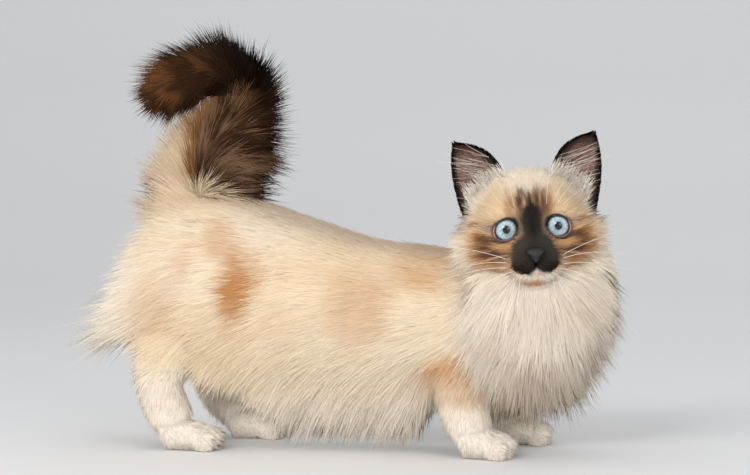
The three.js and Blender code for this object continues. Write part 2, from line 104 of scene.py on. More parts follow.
def noise(p, size, salt=0):
    """Smooth noise from -1 to 1 at points p, with features about size millimetres across."""
    q = p / size
    base = np.floor(q)
    f = q - base
    f = f * f * (3 - 2 * f)
    total = np.zeros(len(p))
    for corner in np.ndindex(2, 2, 2):
        c = np.array(corner)
        weight = np.prod(np.where(c == 1, f, 1 - f), axis=1)
        total += weight * hashed(base + c, salt)
    return 2 * total - 1


def noise3(p, size, salt=0):
    return np.stack([noise(p, size, salt + k) for k in range(3)], axis=1)


# The frame's place: the eye's solid says where the origin is
turn, roll = math.radians(HEAD_TURN - 90), math.radians(HEAD_ROLL)
TURN = np.array([[math.cos(turn), -math.sin(turn), 0], [math.sin(turn), math.cos(turn), 0], [0, 0, 1]])
ROLL = np.array([[math.cos(roll), 0, math.sin(roll)], [0, 1, 0], [-math.sin(roll), 0, math.cos(roll)]])
HEAD = TURN @ ROLL


def from_head(q):
    return q @ HEAD.T + HEAD_CENTRE


def to_head(p):
    return (p - HEAD_CENTRE) @ HEAD


eye_low, eye_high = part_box("eye_right")
EYE_PLACE = (np.array(eye_low) + np.array(eye_high)) / 2 / MM
SHIFT = EYE_PLACE - from_head(EYE_CENTRE)
SHIFT[2] = 0.0


def world(p):
    return (p + SHIFT) * MM


# Body forms: oval sections [x, y, z, side, up, down] along a curve
class Form:
    def __init__(self, stations, reference=(0, 0, 1), caps=(0.14, 0.14)):
        self.stations = np.array(stations, float)
        self.reference = np.array(reference, float)
        self.caps = caps

    def at(self, t):
        s = self.stations
        t = np.clip(np.atleast_1d(t), 0, 1) * (len(s) - 1)
        k = np.minimum(t.astype(int), len(s) - 2)
        f = (t - k)[:, None]
        a, b, c, d = (s[np.clip(k + i, 0, len(s) - 1)] for i in (-1, 0, 1, 2))
        a = np.where((k == 0)[:, None], 2 * b - c, a)
        d = np.where((k == len(s) - 2)[:, None], 2 * c - b, d)
        square, cube = 2 * a - 5 * b + 4 * c - d, 3 * b - a - 3 * c + d
        return 0.5 * (2 * b + (c - a) * f + square * f**2 + cube * f**3)

    def frame(self, t):
        tangent = unit(self.at(t + 0.01)[:, :3] - self.at(t - 0.01)[:, :3])
        side = unit(np.cross(tangent, self.reference))
        return tangent, side, np.cross(side, tangent)

    def point(self, t, angle, grow=0.0, scale=1.0):
        tangent, side, up = self.frame(t)
        s = self.at(t)
        near = np.maximum(0, 1 - t / self.caps[0])
        far = np.maximum(0, 1 - (1 - t) / self.caps[1])
        round_ = np.sqrt(np.clip(1 - np.maximum(near, far) ** 2, 0, 1))
        high = np.where(np.sin(angle) > 0, s[:, 4], s[:, 5])
        a = np.cos(angle) * (s[:, 3] * scale + grow) * round_
        b = np.sin(angle) * (high * scale + grow) * round_
        ends = grow * (far**2 - near**2)
        return s[:, :3] + side * a[:, None] + up * b[:, None] + tangent * ends[:, None]

    def mesh(self, around, along, grow=0.0, scale=1.0):
        turns = np.arange(around) * 2 * np.pi / around
        t, angle = np.meshgrid(np.linspace(0, 1, along), turns, indexing="ij")
        points = self.point(t.ravel(), angle.ravel(), grow, scale)
        faces = grid_faces(along, around, wrap=True)
        caps = [list(range(around))[::-1], list(range((along - 1) * around, along * around))]
        return points, faces + caps

    def locate(self, p, steps=72):
        """For each point, the nearest t, its angle round the form, and its distance in section radii."""
        ts = np.linspace(0.0, 1.0, steps)
        centres = self.at(ts)[:, :3]
        best = np.empty(len(p), int)
        for i in range(0, len(p), BATCH):
            d = ((p[i : i + BATCH, None, :] - centres[None]) ** 2).sum(-1)
            best[i : i + BATCH] = d.argmin(1)
        t = ts[best]
        _, side, up = self.frame(t)
        s = self.at(t)
        v = p - s[:, :3]
        a, b = dot(v, side)[:, 0], dot(v, up)[:, 0]
        high = np.where(b > 0, s[:, 4], s[:, 5])
        return t, np.arctan2(b / high, a / s[:, 3]), np.hypot(a / s[:, 3], b / high)


def grid_faces(rows, columns, wrap=False):
    faces = []
    for i in range(rows - 1):
        for j in range(columns if wrap else columns - 1):
            n = (j + 1) % columns
            faces.append([i * columns + j, i * columns + n, (i + 1) * columns + n, (i + 1) * columns + j])
    return faces


TORSO = Form(
    [
        [-164, 0, 140, 34, 36, 44],
        [-146, 0, 136, 45, 48, 58],
        [-120, 0, 130, 54, 58, 72],
        [-88, 0, 123, 58, 65, 80],
        [-42, 0, 110, 59, 64, 72],
        [11, 0, 101, 60, 58, 66],
        [64, 0, 98, 59, 55, 62],
        [104, 0, 98, 55, 51, 56],
        [134, 0, 97, 47, 42, 48],
        [152, 0, 96, 39, 34, 41],
    ],
    caps=(0.16, 0.16),
)
NECK = Form(
    [
        [104, 4, 92, 46, 44, 44],
        [128, -12, 98, 50, 48, 46],
        [140, -28, 112, 50, 46, 46],
        [141, -38, 132, 50, 44, 42],
        [138, -42, 152, 48, 42, 40],
    ],
    reference=(0, 1, 0),
    caps=(0.2, 0.14),
)
TAIL = Form(
    [
        [-112, 0, 158, 18, 18, 18],
        [-122, 0, 186, 21, 21, 21],
        [-118, 3, 212, 20, 20, 20],
        [-99, 7, 238, 18, 18, 18],
        [-87, 5, 260, 17, 17, 17],
        [-100, -8, 277, 17, 17, 17],
        [-124, -18, 274, 16, 16, 16],
        [-143, -24, 262, 12, 12, 12],
    ],
    reference=(0, 1, 0),
    caps=(0.06, 0.1),
)
TORSO_INSET, NECK_INSET, LEG_INSET = -5.0, -6.0, -2.5
TAIL_SHARE = 0.6  # the bare tail's share of the CAD core

# Legs: stations down from the body, then a foot; side is -1 on the cat's right
FORE_STATIONS = [
    [88, -34, 92, 17, 20, 20],
    [86, -36, 68, 18.5, 21, 20],
    [88, -39, 47, 18.5, 20, 20],
    [91, -41, 28, 17.5, 19, 18],
    [94, -42, 14, 16, 19, 17],
]
HIND_STATIONS = [
    [-120, -30, 94, 14, 22, 26],
    [-128, -34, 74, 16, 22, 24],
    [-139, -39, 56, 16, 20, 19],
    [-137, -39, 36, 15, 20, 16],
    [-130, -39, 15, 15, 22, 15],
]
FORE_FOOT = dict(heel=V(88, -42, 12), toe=V(117, -45, 10.5), wide=18.0, high=13.0)
HIND_FOOT = dict(heel=V(-134, -39, 11), toe=V(-101, -40, 10.5), wide=17.0, high=12.0)
LEGS = {
    "foreleg_right": (FORE_STATIONS, FORE_FOOT, -1, 0),
    "foreleg_left": (FORE_STATIONS, FORE_FOOT, 1, 15),
    "hindleg_right": (HIND_STATIONS, HIND_FOOT, -1, 0),
    "hindleg_left": (HIND_STATIONS, HIND_FOOT, 1, 29),
}
SOLE_TRIM = 3.0
HEEL_ROUND = 11.0  # how far the lower edge of each heel is drawn forward


def leg_forms(stations, foot, side, step):
    """The leg, the sole and the four toes of one leg."""
    shifted = [[s[0] + step * (i + 1) / len(stations), -side * s[1], *s[2:]] for i, s in enumerate(stations)]
    leg = Form(shifted, reference=(1, 0, 0), caps=(0.14, 0.12))
    move = V(step, 0, 0)
    flip = V(1, -side, 1)
    heel, toe = foot["heel"] * flip + move, foot["toe"] * flip + move
    ahead = toe - heel
    ahead[2] = 0
    ahead /= np.linalg.norm(ahead)
    across = V(-ahead[1], ahead[0], 0)
    wide, high = foot["wide"], foot["high"]

    def oval(at, w, h, scale=1.0):
        return [*at, w * scale, h * scale, at[2] + SOLE_TRIM]

    sole = Form(
        [
            oval(heel - 9 * ahead, wide, high + 3, 0.86),
            oval(heel, wide, high + 6),
            oval(mix(heel, toe, 0.55), wide, high + 2),
            oval(toe, wide, high - 2, 0.94),
            oval(toe + 7 * ahead, wide, high - 3, 0.8),
        ],
        caps=(0.3, 0.26),
    )
    toes = []
    for k in (-1.5, -0.5, 0.5, 1.5):
        start = toe + across * k * wide * 0.42 - 8 * ahead
        end = toe + across * k * wide * 0.49 + (10 - 2.2 * abs(k)) * ahead
        ovals = [oval(start, 5.4, 6.5), oval(mix(start, end, 0.5), 5.6, 6.8), oval(end, 5.2, 4.6)]
        toes.append(Form(ovals, caps=(0.3, 0.34)))
    return leg, sole, toes


LEG_FORMS = {name: leg_forms(*leg) for name, leg in LEGS.items()}


def toe_gap(p):
    """Distance on the plan from each point to the nearest gap between two toes."""
    best = np.full(len(p), 99.0)
    for _, _, toes in LEG_FORMS.values():
        for one, other in zip(toes, toes[1:]):
            start = (one.stations[0][:2] + other.stations[0][:2]) / 2
            end = (one.stations[2][:2] + other.stations[2][:2]) / 2
            end = end + 0.5 * (end - start)
            best = np.minimum(best, line_distance(p[:, 0], p[:, 1], [tuple(start), tuple(end)]))
    return best


# Head: lumps [x, y, z, half width, half depth, half height], those with x > 0 on both sides
LUMPS = [
    [0, -6, 7, 43, 39, 35.5],
    [25, 4, -12, 25, 25, 23],
    [0, 9, -18, 26, 26, 18],
    [0, 25, -4, 7, 14, 14],
    [0, 31, -18, 10, 14, 9],
    [8, 32, -25, 10.5, 12, 8.5],
    [0, 29, -32.5, 9, 11, 7],
    [17, 17, 9, 13, 13, 9],
]
BLEND, SWELL = 5.0, 3.0
HEAD_POLE = V(0, 2, -8)


def head_distance(q):
    folded = np.concatenate([np.abs(q[:, :1]), q[:, 1:]], 1)
    total = np.zeros(len(q))
    for lump in LUMPS:
        c, r = np.array(lump[:3]), np.array(lump[3:])
        v = (folded - c) / r
        k0 = np.linalg.norm(v, axis=1)
        k1 = np.maximum(np.linalg.norm(v / r, axis=1), 1e-9)
        total += np.exp(np.clip(-(k0 * (k0 - 1) / k1) / BLEND, -60, 60))
    return SWELL - BLEND * np.log(np.maximum(total, 1e-30))


def head_reach(direction):
    """How far the head reaches from its pole in each direction."""
    low, high = np.zeros(len(direction)), np.full(len(direction), 90.0)
    for _ in range(20):
        middle = (low + high) / 2
        inside = head_distance(HEAD_POLE + direction * middle[:, None]) < 0
        low, high = np.where(inside, middle, low), np.where(inside, high, middle)
    return low


def coat_depth(q):
    """How deep the coat is on the head: thin on the face, deeper on cheeks and crown."""
    return mix(4.5, 1.6, ramp(q[:, 1], 8, 30))


# The eye's opening, from its middle, and the radius of the sphere that the lids lie on
LID = dict(half=8.7, high=7.5, over=11.2)
SOCKET_DEPTH = 11


def slit_share(u, w):
    """How far out each place is in the eye's slanted opening: 1 on its edge."""
    return np.hypot(u / LID["half"], (w + 0.10 * u) / LID["high"])


def face_surface(q):
    """Moves points of the head's skin onto its surface, with the sockets, lids and mouth."""
    direction = unit(q - HEAD_POLE)
    reach = head_reach(direction)
    reach = reach - coat_depth(HEAD_POLE + direction * reach[:, None])
    p = HEAD_POLE + direction * reach[:, None]
    for side in (1, -1):
        eye = EYE_CENTRE * V(side, 1, 1)
        to_eye = eye - HEAD_POLE
        along = direction @ to_eye
        off = to_eye @ to_eye - along**2
        hit = along + np.sqrt(np.maximum(LID["over"] ** 2 - off, 0))
        near = off < LID["over"] ** 2
        slit = slit_share((p[:, 0] - eye[0]) * side, p[:, 2] - eye[2])
        lid = near & (slit > 1) & (p[:, 1] > 5)
        reach = np.where(lid, np.maximum(reach, mix(reach, hit, ramp(slit, 1.75, 1.2))), reach)
        reach = np.where((slit <= 1) & (p[:, 1] > 5), reach - SOCKET_DEPTH, reach)
    p = HEAD_POLE + direction * reach[:, None]
    depth = 1.3 * np.exp(-(mouth_distance(p) ** 2)) * ramp(p[:, 1], 25, 32)
    return p - direction * depth[:, None]


MOUTH = [(0, -28.5), (4, -30), (8.5, -30.6), (12.5, -29), (15, -26.5)]
PHILTRUM = [(0, -22), (0, -28.5)]


def line_distance(x, z, line):
    best = np.full(len(x), 1e9)
    for (x0, z0), (x1, z1) in zip(line, line[1:]):
        dx, dz = x1 - x0, z1 - z0
        share = np.clip(((x - x0) * dx + (z - z0) * dz) / (dx * dx + dz * dz), 0, 1)
        best = np.minimum(best, np.hypot(x - x0 - share * dx, z - z0 - share * dz))
    return best


def mouth_distance(q):
    x, z = np.abs(q[:, 0]), q[:, 2]
    return np.minimum(line_distance(x, z, MOUTH), line_distance(x, z, PHILTRUM))


# Meshes
def linked(name, data):
    made = bpy.data.objects.new(name, data)
    bpy.context.scene.collection.objects.link(made)
    return made


def made_smooth(mesh):
    mesh.polygons.foreach_set("use_smooth", np.ones(len(mesh.polygons), bool))


def mesh_object(name, points, faces):
    mesh = bpy.data.meshes.new(name)
    mesh.from_pydata([tuple(p) for p in points], [], faces)
    made_smooth(mesh)
    mesh.update()
    return linked(name, mesh)


def coords(mesh):
    flat = np.empty(len(mesh.vertices) * 3)
    mesh.vertices.foreach_get("co", flat)
    return flat.reshape(-1, 3)


def set_coords(mesh, points):
    mesh.vertices.foreach_set("co", np.ascontiguousarray(points, float).ravel())
    mesh.update()


def ball(rows, columns, hole=0.0):
    """Directions over a sphere with its pole at +Y and a hole, in radians, at each end; and its faces."""
    polar, turn = np.linspace(hole, np.pi - hole, rows), np.arange(columns) * 2 * np.pi / columns
    a, b = np.meshgrid(polar, turn, indexing="ij")
    direction = np.stack([np.sin(a) * np.cos(b), np.cos(a), np.sin(a) * np.sin(b)], -1).reshape(-1, 3)
    return direction, grid_faces(rows, columns, wrap=True)


def head_mesh():
    rows, columns = 90, 120
    direction, faces = ball(rows, columns, 0.004)
    p = HEAD_POLE + direction * head_reach(direction)[:, None]
    p = p - direction * coat_depth(p)[:, None]
    faces += [list(range(columns))[::-1], list(range((rows - 1) * columns, rows * columns))]
    return from_head(p), faces


def joined(parts):
    points, faces, start = [], [], 0
    for p, f in parts:
        points.append(p)
        faces += [[i + start for i in face] for face in f]
        start += len(p)
    return np.concatenate(points), faces


def apply_modifiers(made):
    shown = made.evaluated_get(bpy.context.evaluated_depsgraph_get())
    old = made.data
    made.data = bpy.data.meshes.new_from_object(shown)
    made.modifiers.clear()
    bpy.data.meshes.remove(old)


def make_skin():
    """The whole cat as one smooth skin, in millimetres first."""
    parts = [
        TORSO.mesh(48, 70, TORSO_INSET),
        NECK.mesh(48, 40, NECK_INSET),
        TAIL.mesh(24, 90, 0.0, TAIL_SHARE),
        head_mesh(),
    ]
    for leg, sole, toes in LEG_FORMS.values():
        parts += [leg.mesh(28, 30, LEG_INSET), sole.mesh(28, 24, LEG_INSET)]
        parts += [toe.mesh(14, 14, -1.2) for toe in toes]
    skin = mesh_object("skin", *joined(parts))
    remesh = skin.modifiers.new("remesh", "REMESH")
    remesh.mode = "VOXEL"
    remesh.voxel_size = VOXEL
    apply_modifiers(skin)
    p = coords(skin.data)
    group = skin.vertex_groups.new(name="smoothed")
    weights = mix(0.3, 1.0, ramp(p[:, 2], 22, 34))
    for i, weight in enumerate(weights):
        group.add([i], float(weight), "REPLACE")
    smooth = skin.modifiers.new("smooth", "SMOOTH")
    smooth.iterations = 5
    smooth.factor = 0.5
    smooth.vertex_group = "smoothed"
    apply_modifiers(skin)
    skin.vertex_groups.clear()
    sculpt_head(skin)
    p = coords(skin.data)
    p[:, 2] -= 2.2 * np.exp(-((toe_gap(p) / 1.6) ** 2)) * ramp(p[:, 2], 4, 9)
    for _, foot, side, step in LEGS.values():
        heel = foot["heel"][0] + step
        behind = ramp(p[:, 0], heel + 6, heel - 12) * (p[:, 0] > heel - 24) * (np.sign(p[:, 1]) == side)
        p[:, 0] += HEEL_ROUND * behind * ramp(p[:, 2], 26, 0)
    p[:, 2] = np.maximum(p[:, 2], SOLE_LEVEL)
    set_coords(skin.data, p)
    return skin


def sculpt_head(skin):
    """Finer faces on the face, and its sockets, lids and mouth."""
    bm = bmesh.new()
    bm.from_mesh(skin.data)
    for least_y, wide, top in ((6, 40, 28), (16, 33, 16)):
        bm.verts.ensure_lookup_table()
        q = to_head(np.array([v.co[:] for v in bm.verts]))
        inside = (q[:, 1] > least_y) & (np.abs(q[:, 0]) < wide) & (q[:, 2] > -42) & (q[:, 2] < top)
        edges = [e for e in bm.edges if inside[e.verts[0].index] and inside[e.verts[1].index]]
        bmesh.ops.subdivide_edges(bm, edges=edges, cuts=1, use_grid_fill=True)
        bm.verts.index_update()
    bmesh.ops.triangulate(bm, faces=[f for f in bm.faces if len(f.verts) > 4])
    bm.to_mesh(skin.data)
    bm.free()
    p = coords(skin.data)
    q = to_head(p)
    moved = face_surface(q)
    weight = ramp(q[:, 1], 4, 14) * ramp(q[:, 2], -44, -36)
    weight = weight * (np.linalg.norm(q - HEAD_POLE, axis=1) < 75)
    set_coords(skin.data, from_head(mix(q, moved, weight[:, None])))


# Colours, as linear values from the usual scale of 0 to 255
def srgb(r, g, b):
    c = np.array([r, g, b], float) / 255
    return np.where(c <= 0.04045, c / 12.92, ((c + 0.055) / 1.055) ** 2.4)


CREAM = srgb(232, 214, 188)
FAWN = srgb(216, 182, 138)
GINGER = srgb(188, 134, 84)
WHITE = srgb(244, 234, 220)
# A grey used only for painted shade, on the top of the back and on the bib
SHADE_GREY = srgb(208, 194, 176)
BROWN = srgb(128, 84, 52)
TAN = srgb(196, 146, 96)
SEAL = srgb(28, 18, 12)
BLACK = srgb(12, 9, 8)
SEPIA = srgb(62, 40, 25)
GOLD = srgb(112, 70, 36)
TAUPE = srgb(134, 110, 88)
PINK = srgb(196, 150, 140)


def paint(base, colour, share):
    return base + (colour - base) * np.clip(share, 0, 1)[:, None]


def painted(ground, *layers):
    """The layers' colours over one ground colour, each with its share at every point."""
    base = np.tile(ground, (len(layers[0][1]), 1))
    for colour, share in layers:
        base = paint(base, colour, share)
    return base


def patch(u, w, centre, half, soft=0.45):
    """1 inside an oval patch, 0 outside it, with a soft edge."""
    r = np.hypot((u - centre[0]) / half[0], (w - centre[1]) / half[1])
    return 1 - ramp(r, 1 - soft, 1 + soft)


# Patches on the flanks: centre (x, z), half sizes, strength and colour
FLANK_PATCHES = [
    ((-75, 121), (10, 28), 0.9, GINGER),
    ((-60, 128), (7, 16), 0.4, GINGER),
    ((-90, 155), (11, 13), 0.45, GINGER),
    ((-110, 136), (8, 14), 0.3, GINGER),
    ((20, 106), (24, 26), 0.4, GINGER),
    ((62, 134), (22, 16), 0.5, TAN),
    ((66, 60), (5, 7), 0.5, GINGER),
    ((88, 56), (30, 17), 0.7, GINGER),
    ((-136, 110), (22, 26), 0.18, GINGER),
]


def body_tint(p):
    x, y, z = p.T
    streak = noise(p * V(0.35, 1, 1), 9, 3)
    base = painted(CREAM, (FAWN, 0.16 + 0.2 * noise(p, 42, 5) + 0.12 * streak))
    wobble = p + 5 * noise3(p, 16, 21)
    for centre, half, strength, colour in FLANK_PATCHES:
        share = patch(wobble[:, 0], wobble[:, 2], centre, half)
        base = paint(base, colour, strength * share * (1 + 0.2 * streak))
    # Darker and greyer along the top of the back: painted shade, where the light from the front falls off
    spine = ramp(np.abs(y), 40, 12) * ramp(x, -110, -60) * ramp(z, 130, 148)
    base = paint(base, mix(SHADE_GREY, BROWN, 0.35), 0.7 * spine)
    base = paint(base, WHITE, 0.75 * ramp(z, 70, 30))
    return paint(base, WHITE, 0.7 * ramp(x, -140, -166))


def tail_tint(p, t, angle):
    """Cream behind the tail's root, then brown with pale streaks, and the dark hook with golden ones."""
    streak = noise(p, 6, 8) * 0.6 + noise(p, 16, 9) * 0.4
    rear = 0.5 + 0.5 * np.cos(angle)
    reach = np.interp(rear, [0, 0.35, 0.6, 1], [-0.1, 0.04, 0.24, 0.36])
    edge = t + 0.03 * noise(p, 12, 10) - reach
    base = painted(
        mix(SEPIA, SEAL, 0.35),
        (BROWN, ramp(streak, -0.1, 0.5) * 0.45),
        (TAUPE, ramp(streak, 0.0, 0.6) * 0.6 * ramp(t, 0.58, 0.35)),
        # A darker band round the tail where it curls into its hook: painted shadow inside the curl
        (SEAL, 0.85 * patch(t, 0 * t, (0.63, 0), (0.09, 1), 0.6)),
        (GOLD, ramp(streak, -0.3, 0.5) * 0.75 * ramp(t, 0.74, 0.9)),
        (mix(TAN, BROWN, 0.45), 0.8 * ramp(edge, 0.10, 0.02)),
    )
    cream = np.maximum(ramp(edge, 0.04, -0.03), ramp(p[:, 2] - 18 * rear, 190, 183))
    warm = 0.8 * mix(CREAM, FAWN, 0.4) * (1 + 0.12 * streak)[:, None]
    return mix(base, warm, cream[:, None])


# The dark mask's half widths at heights z, from the bridge of the nose down to the lips
SEAL_WIDTHS = [
    (15, 0.0), (12, 3.5), (4, 5.6), (-4, 6.6), (-9, 9.0), (-13, 13.0), (-18, 15.0), (-24, 15.0), (-28, 13.5),
    (-31, 9.0), (-34, 0.0),
]


def face_tint(q):
    """Markings of the head, in its own frame."""
    wobble = q + 1.6 * noise3(q, 5, 31)
    x, y, z = wobble.T
    a = np.abs(x)
    across, ahead, height = q.T
    spokes = np.arctan2(height + 14, np.abs(across) + 2)
    streak = noise(np.stack([spokes * 18, 0.12 * np.hypot(across, height), 0 * a], 1), 1, 33)
    crown = noise(q * V(1, 0.3, 0.2), 1.7, 35)
    front = ramp(y, 6, 15)
    heights, halves = zip(*SEAL_WIDTHS[::-1])
    outside = a - np.interp(z, heights, halves, 0, 0)
    mask = (z < heights[-1]) & (z > heights[0])
    mask = mask * ramp(y, 12, 20)
    chin = patch(across, z, (-3, -33.5), (7, 4.5), 0.4) * ramp(y, 16, 24)
    rim = mix(2.2, 1.3, ramp(a, 16, 24))
    return painted(
        mix(CREAM, WHITE, 0.35),
        (FAWN, 0.3 * ramp(height, 14, 30) * (1 + 0.5 * crown)),
        (TAN, 0.42 * ramp(ahead, 4, -20) * ramp(height, -5, 25)),
        # Fawn and brown round each eye, darkest below its outer corner
        (FAWN, 0.75 * patch(a, z, (25, 4), (17, 22), 0.4) * front),
        (TAN, (0.85 + 0.3 * streak) * patch(a, z, (24, -12), (17, 19), 0.25) * front),
        (BROWN, (0.75 + 0.5 * streak) * patch(a, z, (23, -10), (14, 13), 0.35) * front),
        (SEPIA, (0.5 + 0.5 * streak) * patch(a, z, (24, -12), (12, 8), 0.5) * front),
        # Brown streaks between the brows, and the pale crown
        (TAN, 0.6 * patch(a, z, (8, 12), (9, 12), 0.4) * front),
        (BROWN, (0.6 + 0.6 * crown) * patch(a, z, (6, 16), (9, 11), 0.5) * front),
        (SEPIA, (0.55 + 0.7 * crown) * patch(a, z, (2, 19), (6, 9), 0.6) * front),
        (SEPIA, 0.6 * patch(a, z, (8, 4), (4, 11), 0.6) * front),
        (TAN, 0.7 * patch(a, z, (20, -12), (8, 3), 0.6) * front),
        (mix(CREAM, WHITE, 0.6), (0.5 + 0.5 * crown) * patch(a, z, (0, 36), (17, 12), 0.35)),
        (BROWN, 0.7 * line_ramp(a, z, [(28, 2), (34, 4), (38, 3)], 2.0) * front),
        # The dark mask
        (SEPIA, ramp(outside, 3.4, 0.0) * mask * 0.85),
        (BLACK, ramp(outside, 1.3, -1.3) * mask),
        # Chin: pale, with an orange-brown spot and a pinkish lip
        (WHITE, 0.9 * chin),
        (TAN, 0.8 * patch(across, z, (3, -37.5), (9, 3), 0.5) * ramp(y, 14, 22)),
        (PINK, 0.6 * patch(across, height, (-2, -31.5), (4, 1.2), 0.5) * ramp(y, 20, 26)),
        # Round the eye's opening, its inner corner, and the foot of the ear
        (BLACK, ramp(eye_distance(q), rim, 0.3 * rim)),
        (PINK * 0.7, 0.8 * patch(a, height, (28.5, 1.5), (2.6, 3.0), 0.4) * front),
        (SEAL, 0.95 * patch(a, height, (46, 13), (7, 13), 0.4) * ramp(ahead, -36, -20)),
    )


def line_ramp(x, z, line, width):
    return ramp(line_distance(x, z, line), width, 0.3 * width)


def eye_distance(q):
    """Distance outside the eye's opening, in millimetres, as seen from ahead."""
    slit = slit_share(np.abs(q[:, 0]) - EYE_CENTRE[0], q[:, 2] - EYE_CENTRE[2])
    return np.where(q[:, 1] > 5, (slit - 1) * LID["high"], 50.0)


def leg_tint(p):
    x, _, z = p.T
    bands = 0.7 + 0.35 * noise(p * V(0.3, 0.3, 1), 4, 43)
    return painted(
        mix(WHITE, CREAM, 0.35),
        (GINGER, bands * patch(x, z, (96, 54), (38, 15))),
        # Brown in the gaps between the toes: painted shade in the creases
        (BROWN, 0.55 * ramp(toe_gap(p), 1.8, 0.5) * ramp(z, 22, 16)),
        (SEPIA, 0.5 * patch(x, z, (-160, 76), (9, 6), 0.6)),
        (WHITE, 0.6 * ramp(z, 36, 20)),
    )


def bib_tint(p):
    # Grey-taupe over the whole bib, more towards its foot: painted shade, with a random spread; the cream
    # wash is the bib's own colour
    shade = 0.4 + 0.5 * ramp(p[:, 2], 100, 40) + 0.2 * noise(p * V(1, 1, 0.4), 9, 42)
    cream = 0.2 * noise(p, 22, 41)
    return painted(mix(WHITE, CREAM, 0.2), (CREAM, cream), (mix(SHADE_GREY, TAUPE, 0.35), shade))


# Regions of the body
def regions(p):
    """The share of each part at each point, and the point's place on the parts' own forms."""
    q = to_head(p)
    x, y, z = p.T
    tail_t, tail_angle, tail_r = TAIL.locate(p)
    tail = (1 - ramp(tail_r, 0.95, 1.5)) * ramp(tail_t, 0.06, 0.16)
    head = (1 - ramp(head_distance(q), -2.0, 5.0)) * (1 - tail)
    leg, leg_r, leg_angle = np.zeros((3, len(p)))
    leg_number = np.zeros(len(p), int)
    for i, (form, _, _) in enumerate(LEG_FORMS.values()):
        _, angle, r = form.locate(p, 40)
        foot_x, foot_y = form.stations[-1][:2]
        foot = (z < 26) & (np.abs(x - foot_x - 15) < 42) & (np.sign(y) == np.sign(foot_y))
        share = np.maximum((1 - ramp(r, 1.0, 1.35)) * (1 - ramp(z, 44, 68)), foot * 1.0)
        here = share > leg
        leg[here], leg_r[here], leg_angle[here], leg_number[here] = share[here], r[here], angle[here], i
    neck_t, neck_angle, neck_r = NECK.locate(p)
    neck = (1 - ramp(neck_r, 0.94, 1.15)) * (1 - head) * (1 - leg) * ramp(x, 84, 104)
    shares = np.stack([np.clip(1 - head - neck - tail - leg, 0, 1), neck, head, leg, tail], 1)
    shares /= np.maximum(shares.sum(1, keepdims=True), 1e-6)
    return dict(
        q=q, shares=shares, torso=TORSO.locate(p)[:2], neck=(neck_t, neck_angle),
        leg=(leg_r, leg_angle, leg_number), tail=(tail_t, tail_angle),
    )


def tint(p, where):
    colours = body_tint(p), bib_tint(p), face_tint(where["q"]), leg_tint(p), tail_tint(p, *where["tail"])
    return sum(where["shares"][:, i : i + 1] * colour for i, colour in enumerate(colours))


# The coat's lie, length, width, lift and density in each region, all called with the points,
# their normals and what regions found
def torso_coat(p, n, where):
    s = np.sin(where["torso"][1])
    x, y, z = p.T
    levels = [-1, -0.75, -0.4, 0, 0.5, 1]
    down = np.interp(s, levels, [1.5, 1.05, 0.55, 0.22, 0.1, 0.02])
    back = np.interp(s, levels, [0.3, 0.5, 0.95, 1, 1, 1])
    down = down + 0.5 * ramp(x, 60, 110) * ramp(s, 0.6, 0) + 0.55 * ramp(x, -118, -150) * ramp(z, 185, 150)
    down = down - 0.35 * ramp(x, -80, -125) * ramp(z, 150, 180)
    rump = ramp(x, -112, -140)
    down = mix(down, np.minimum(down, 0.42), rump)
    back = mix(back, 1.0, rump)
    lie = np.stack([-back, 0 * x, -down], 1)
    lie[:, 1] += 0.25 * np.sign(y) * ramp(s, 0.9, 0.2) * ramp(x, -100, -160)
    length = np.interp(s, [-1, -0.7, -0.3, 0.2, 1], [33, 40, 29, 23, 15])
    length = length + 8 * ramp(x, -120, -155) + 2 * noise(p, 12, 51)
    length = length * (1 - 0.5 * ramp(x, -38, -78) * ramp(z, 84, 62))
    length = length * mix(1.0, 0.8, ramp(x, 70, 120))
    fore = ramp(x, 58, 72) * ramp(z, 88, 66)
    thigh = 14 * ramp(x, -120, -140)
    hind = ramp(x, -96, -112) * ramp(z, 92 + thigh, 72 + thigh)
    length = length * mix(1.0, 0.34, np.maximum(fore, hind))
    breech = ramp(x, -124, -150) * ramp(z, 156, 124) * ramp(z, 84, 100)
    length = length + 7 * breech * ramp(z, 124, 108)
    lie = lie + breech[:, None] * V(-0.3, 0, -0.15)
    lift = np.interp(s, [-1, -0.6, 0, 1], [0.4, 0.22, 0.15, 0.14]) + 0.2 * ramp(x, -130, -160)
    return lie, length, 1.0, lift, np.where(y < 0, 0.6, 0.44)


def neck_coat(p, n, where):
    q = where["q"]
    out = unit(n * V(1, 1, 0.3))
    spread = np.stack([np.clip(q[:, 0] / 30, -1, 1), 0 * q[:, 0], 0 * q[:, 0]], 1)
    lie = 0.45 * out + V(0, 0, -1) + 0.35 * spread @ HEAD.T + 0.3 * noise3(p, 30, 57)
    lie = lie + V(-0.5, 0, 0) * ramp(p[:, 1], -20, 10)[:, None]
    length = 31 + 3 * noise(p, 14, 52) - 10 * ramp(p[:, 2], 60, 40)
    length = length * mix(1.0, 0.8, ramp(p[:, 1], 10, 40)) * mix(1.0, 0.78, ramp(p[:, 0], 160, 185))
    return lie, length, 1.0, 0.3, 0.72


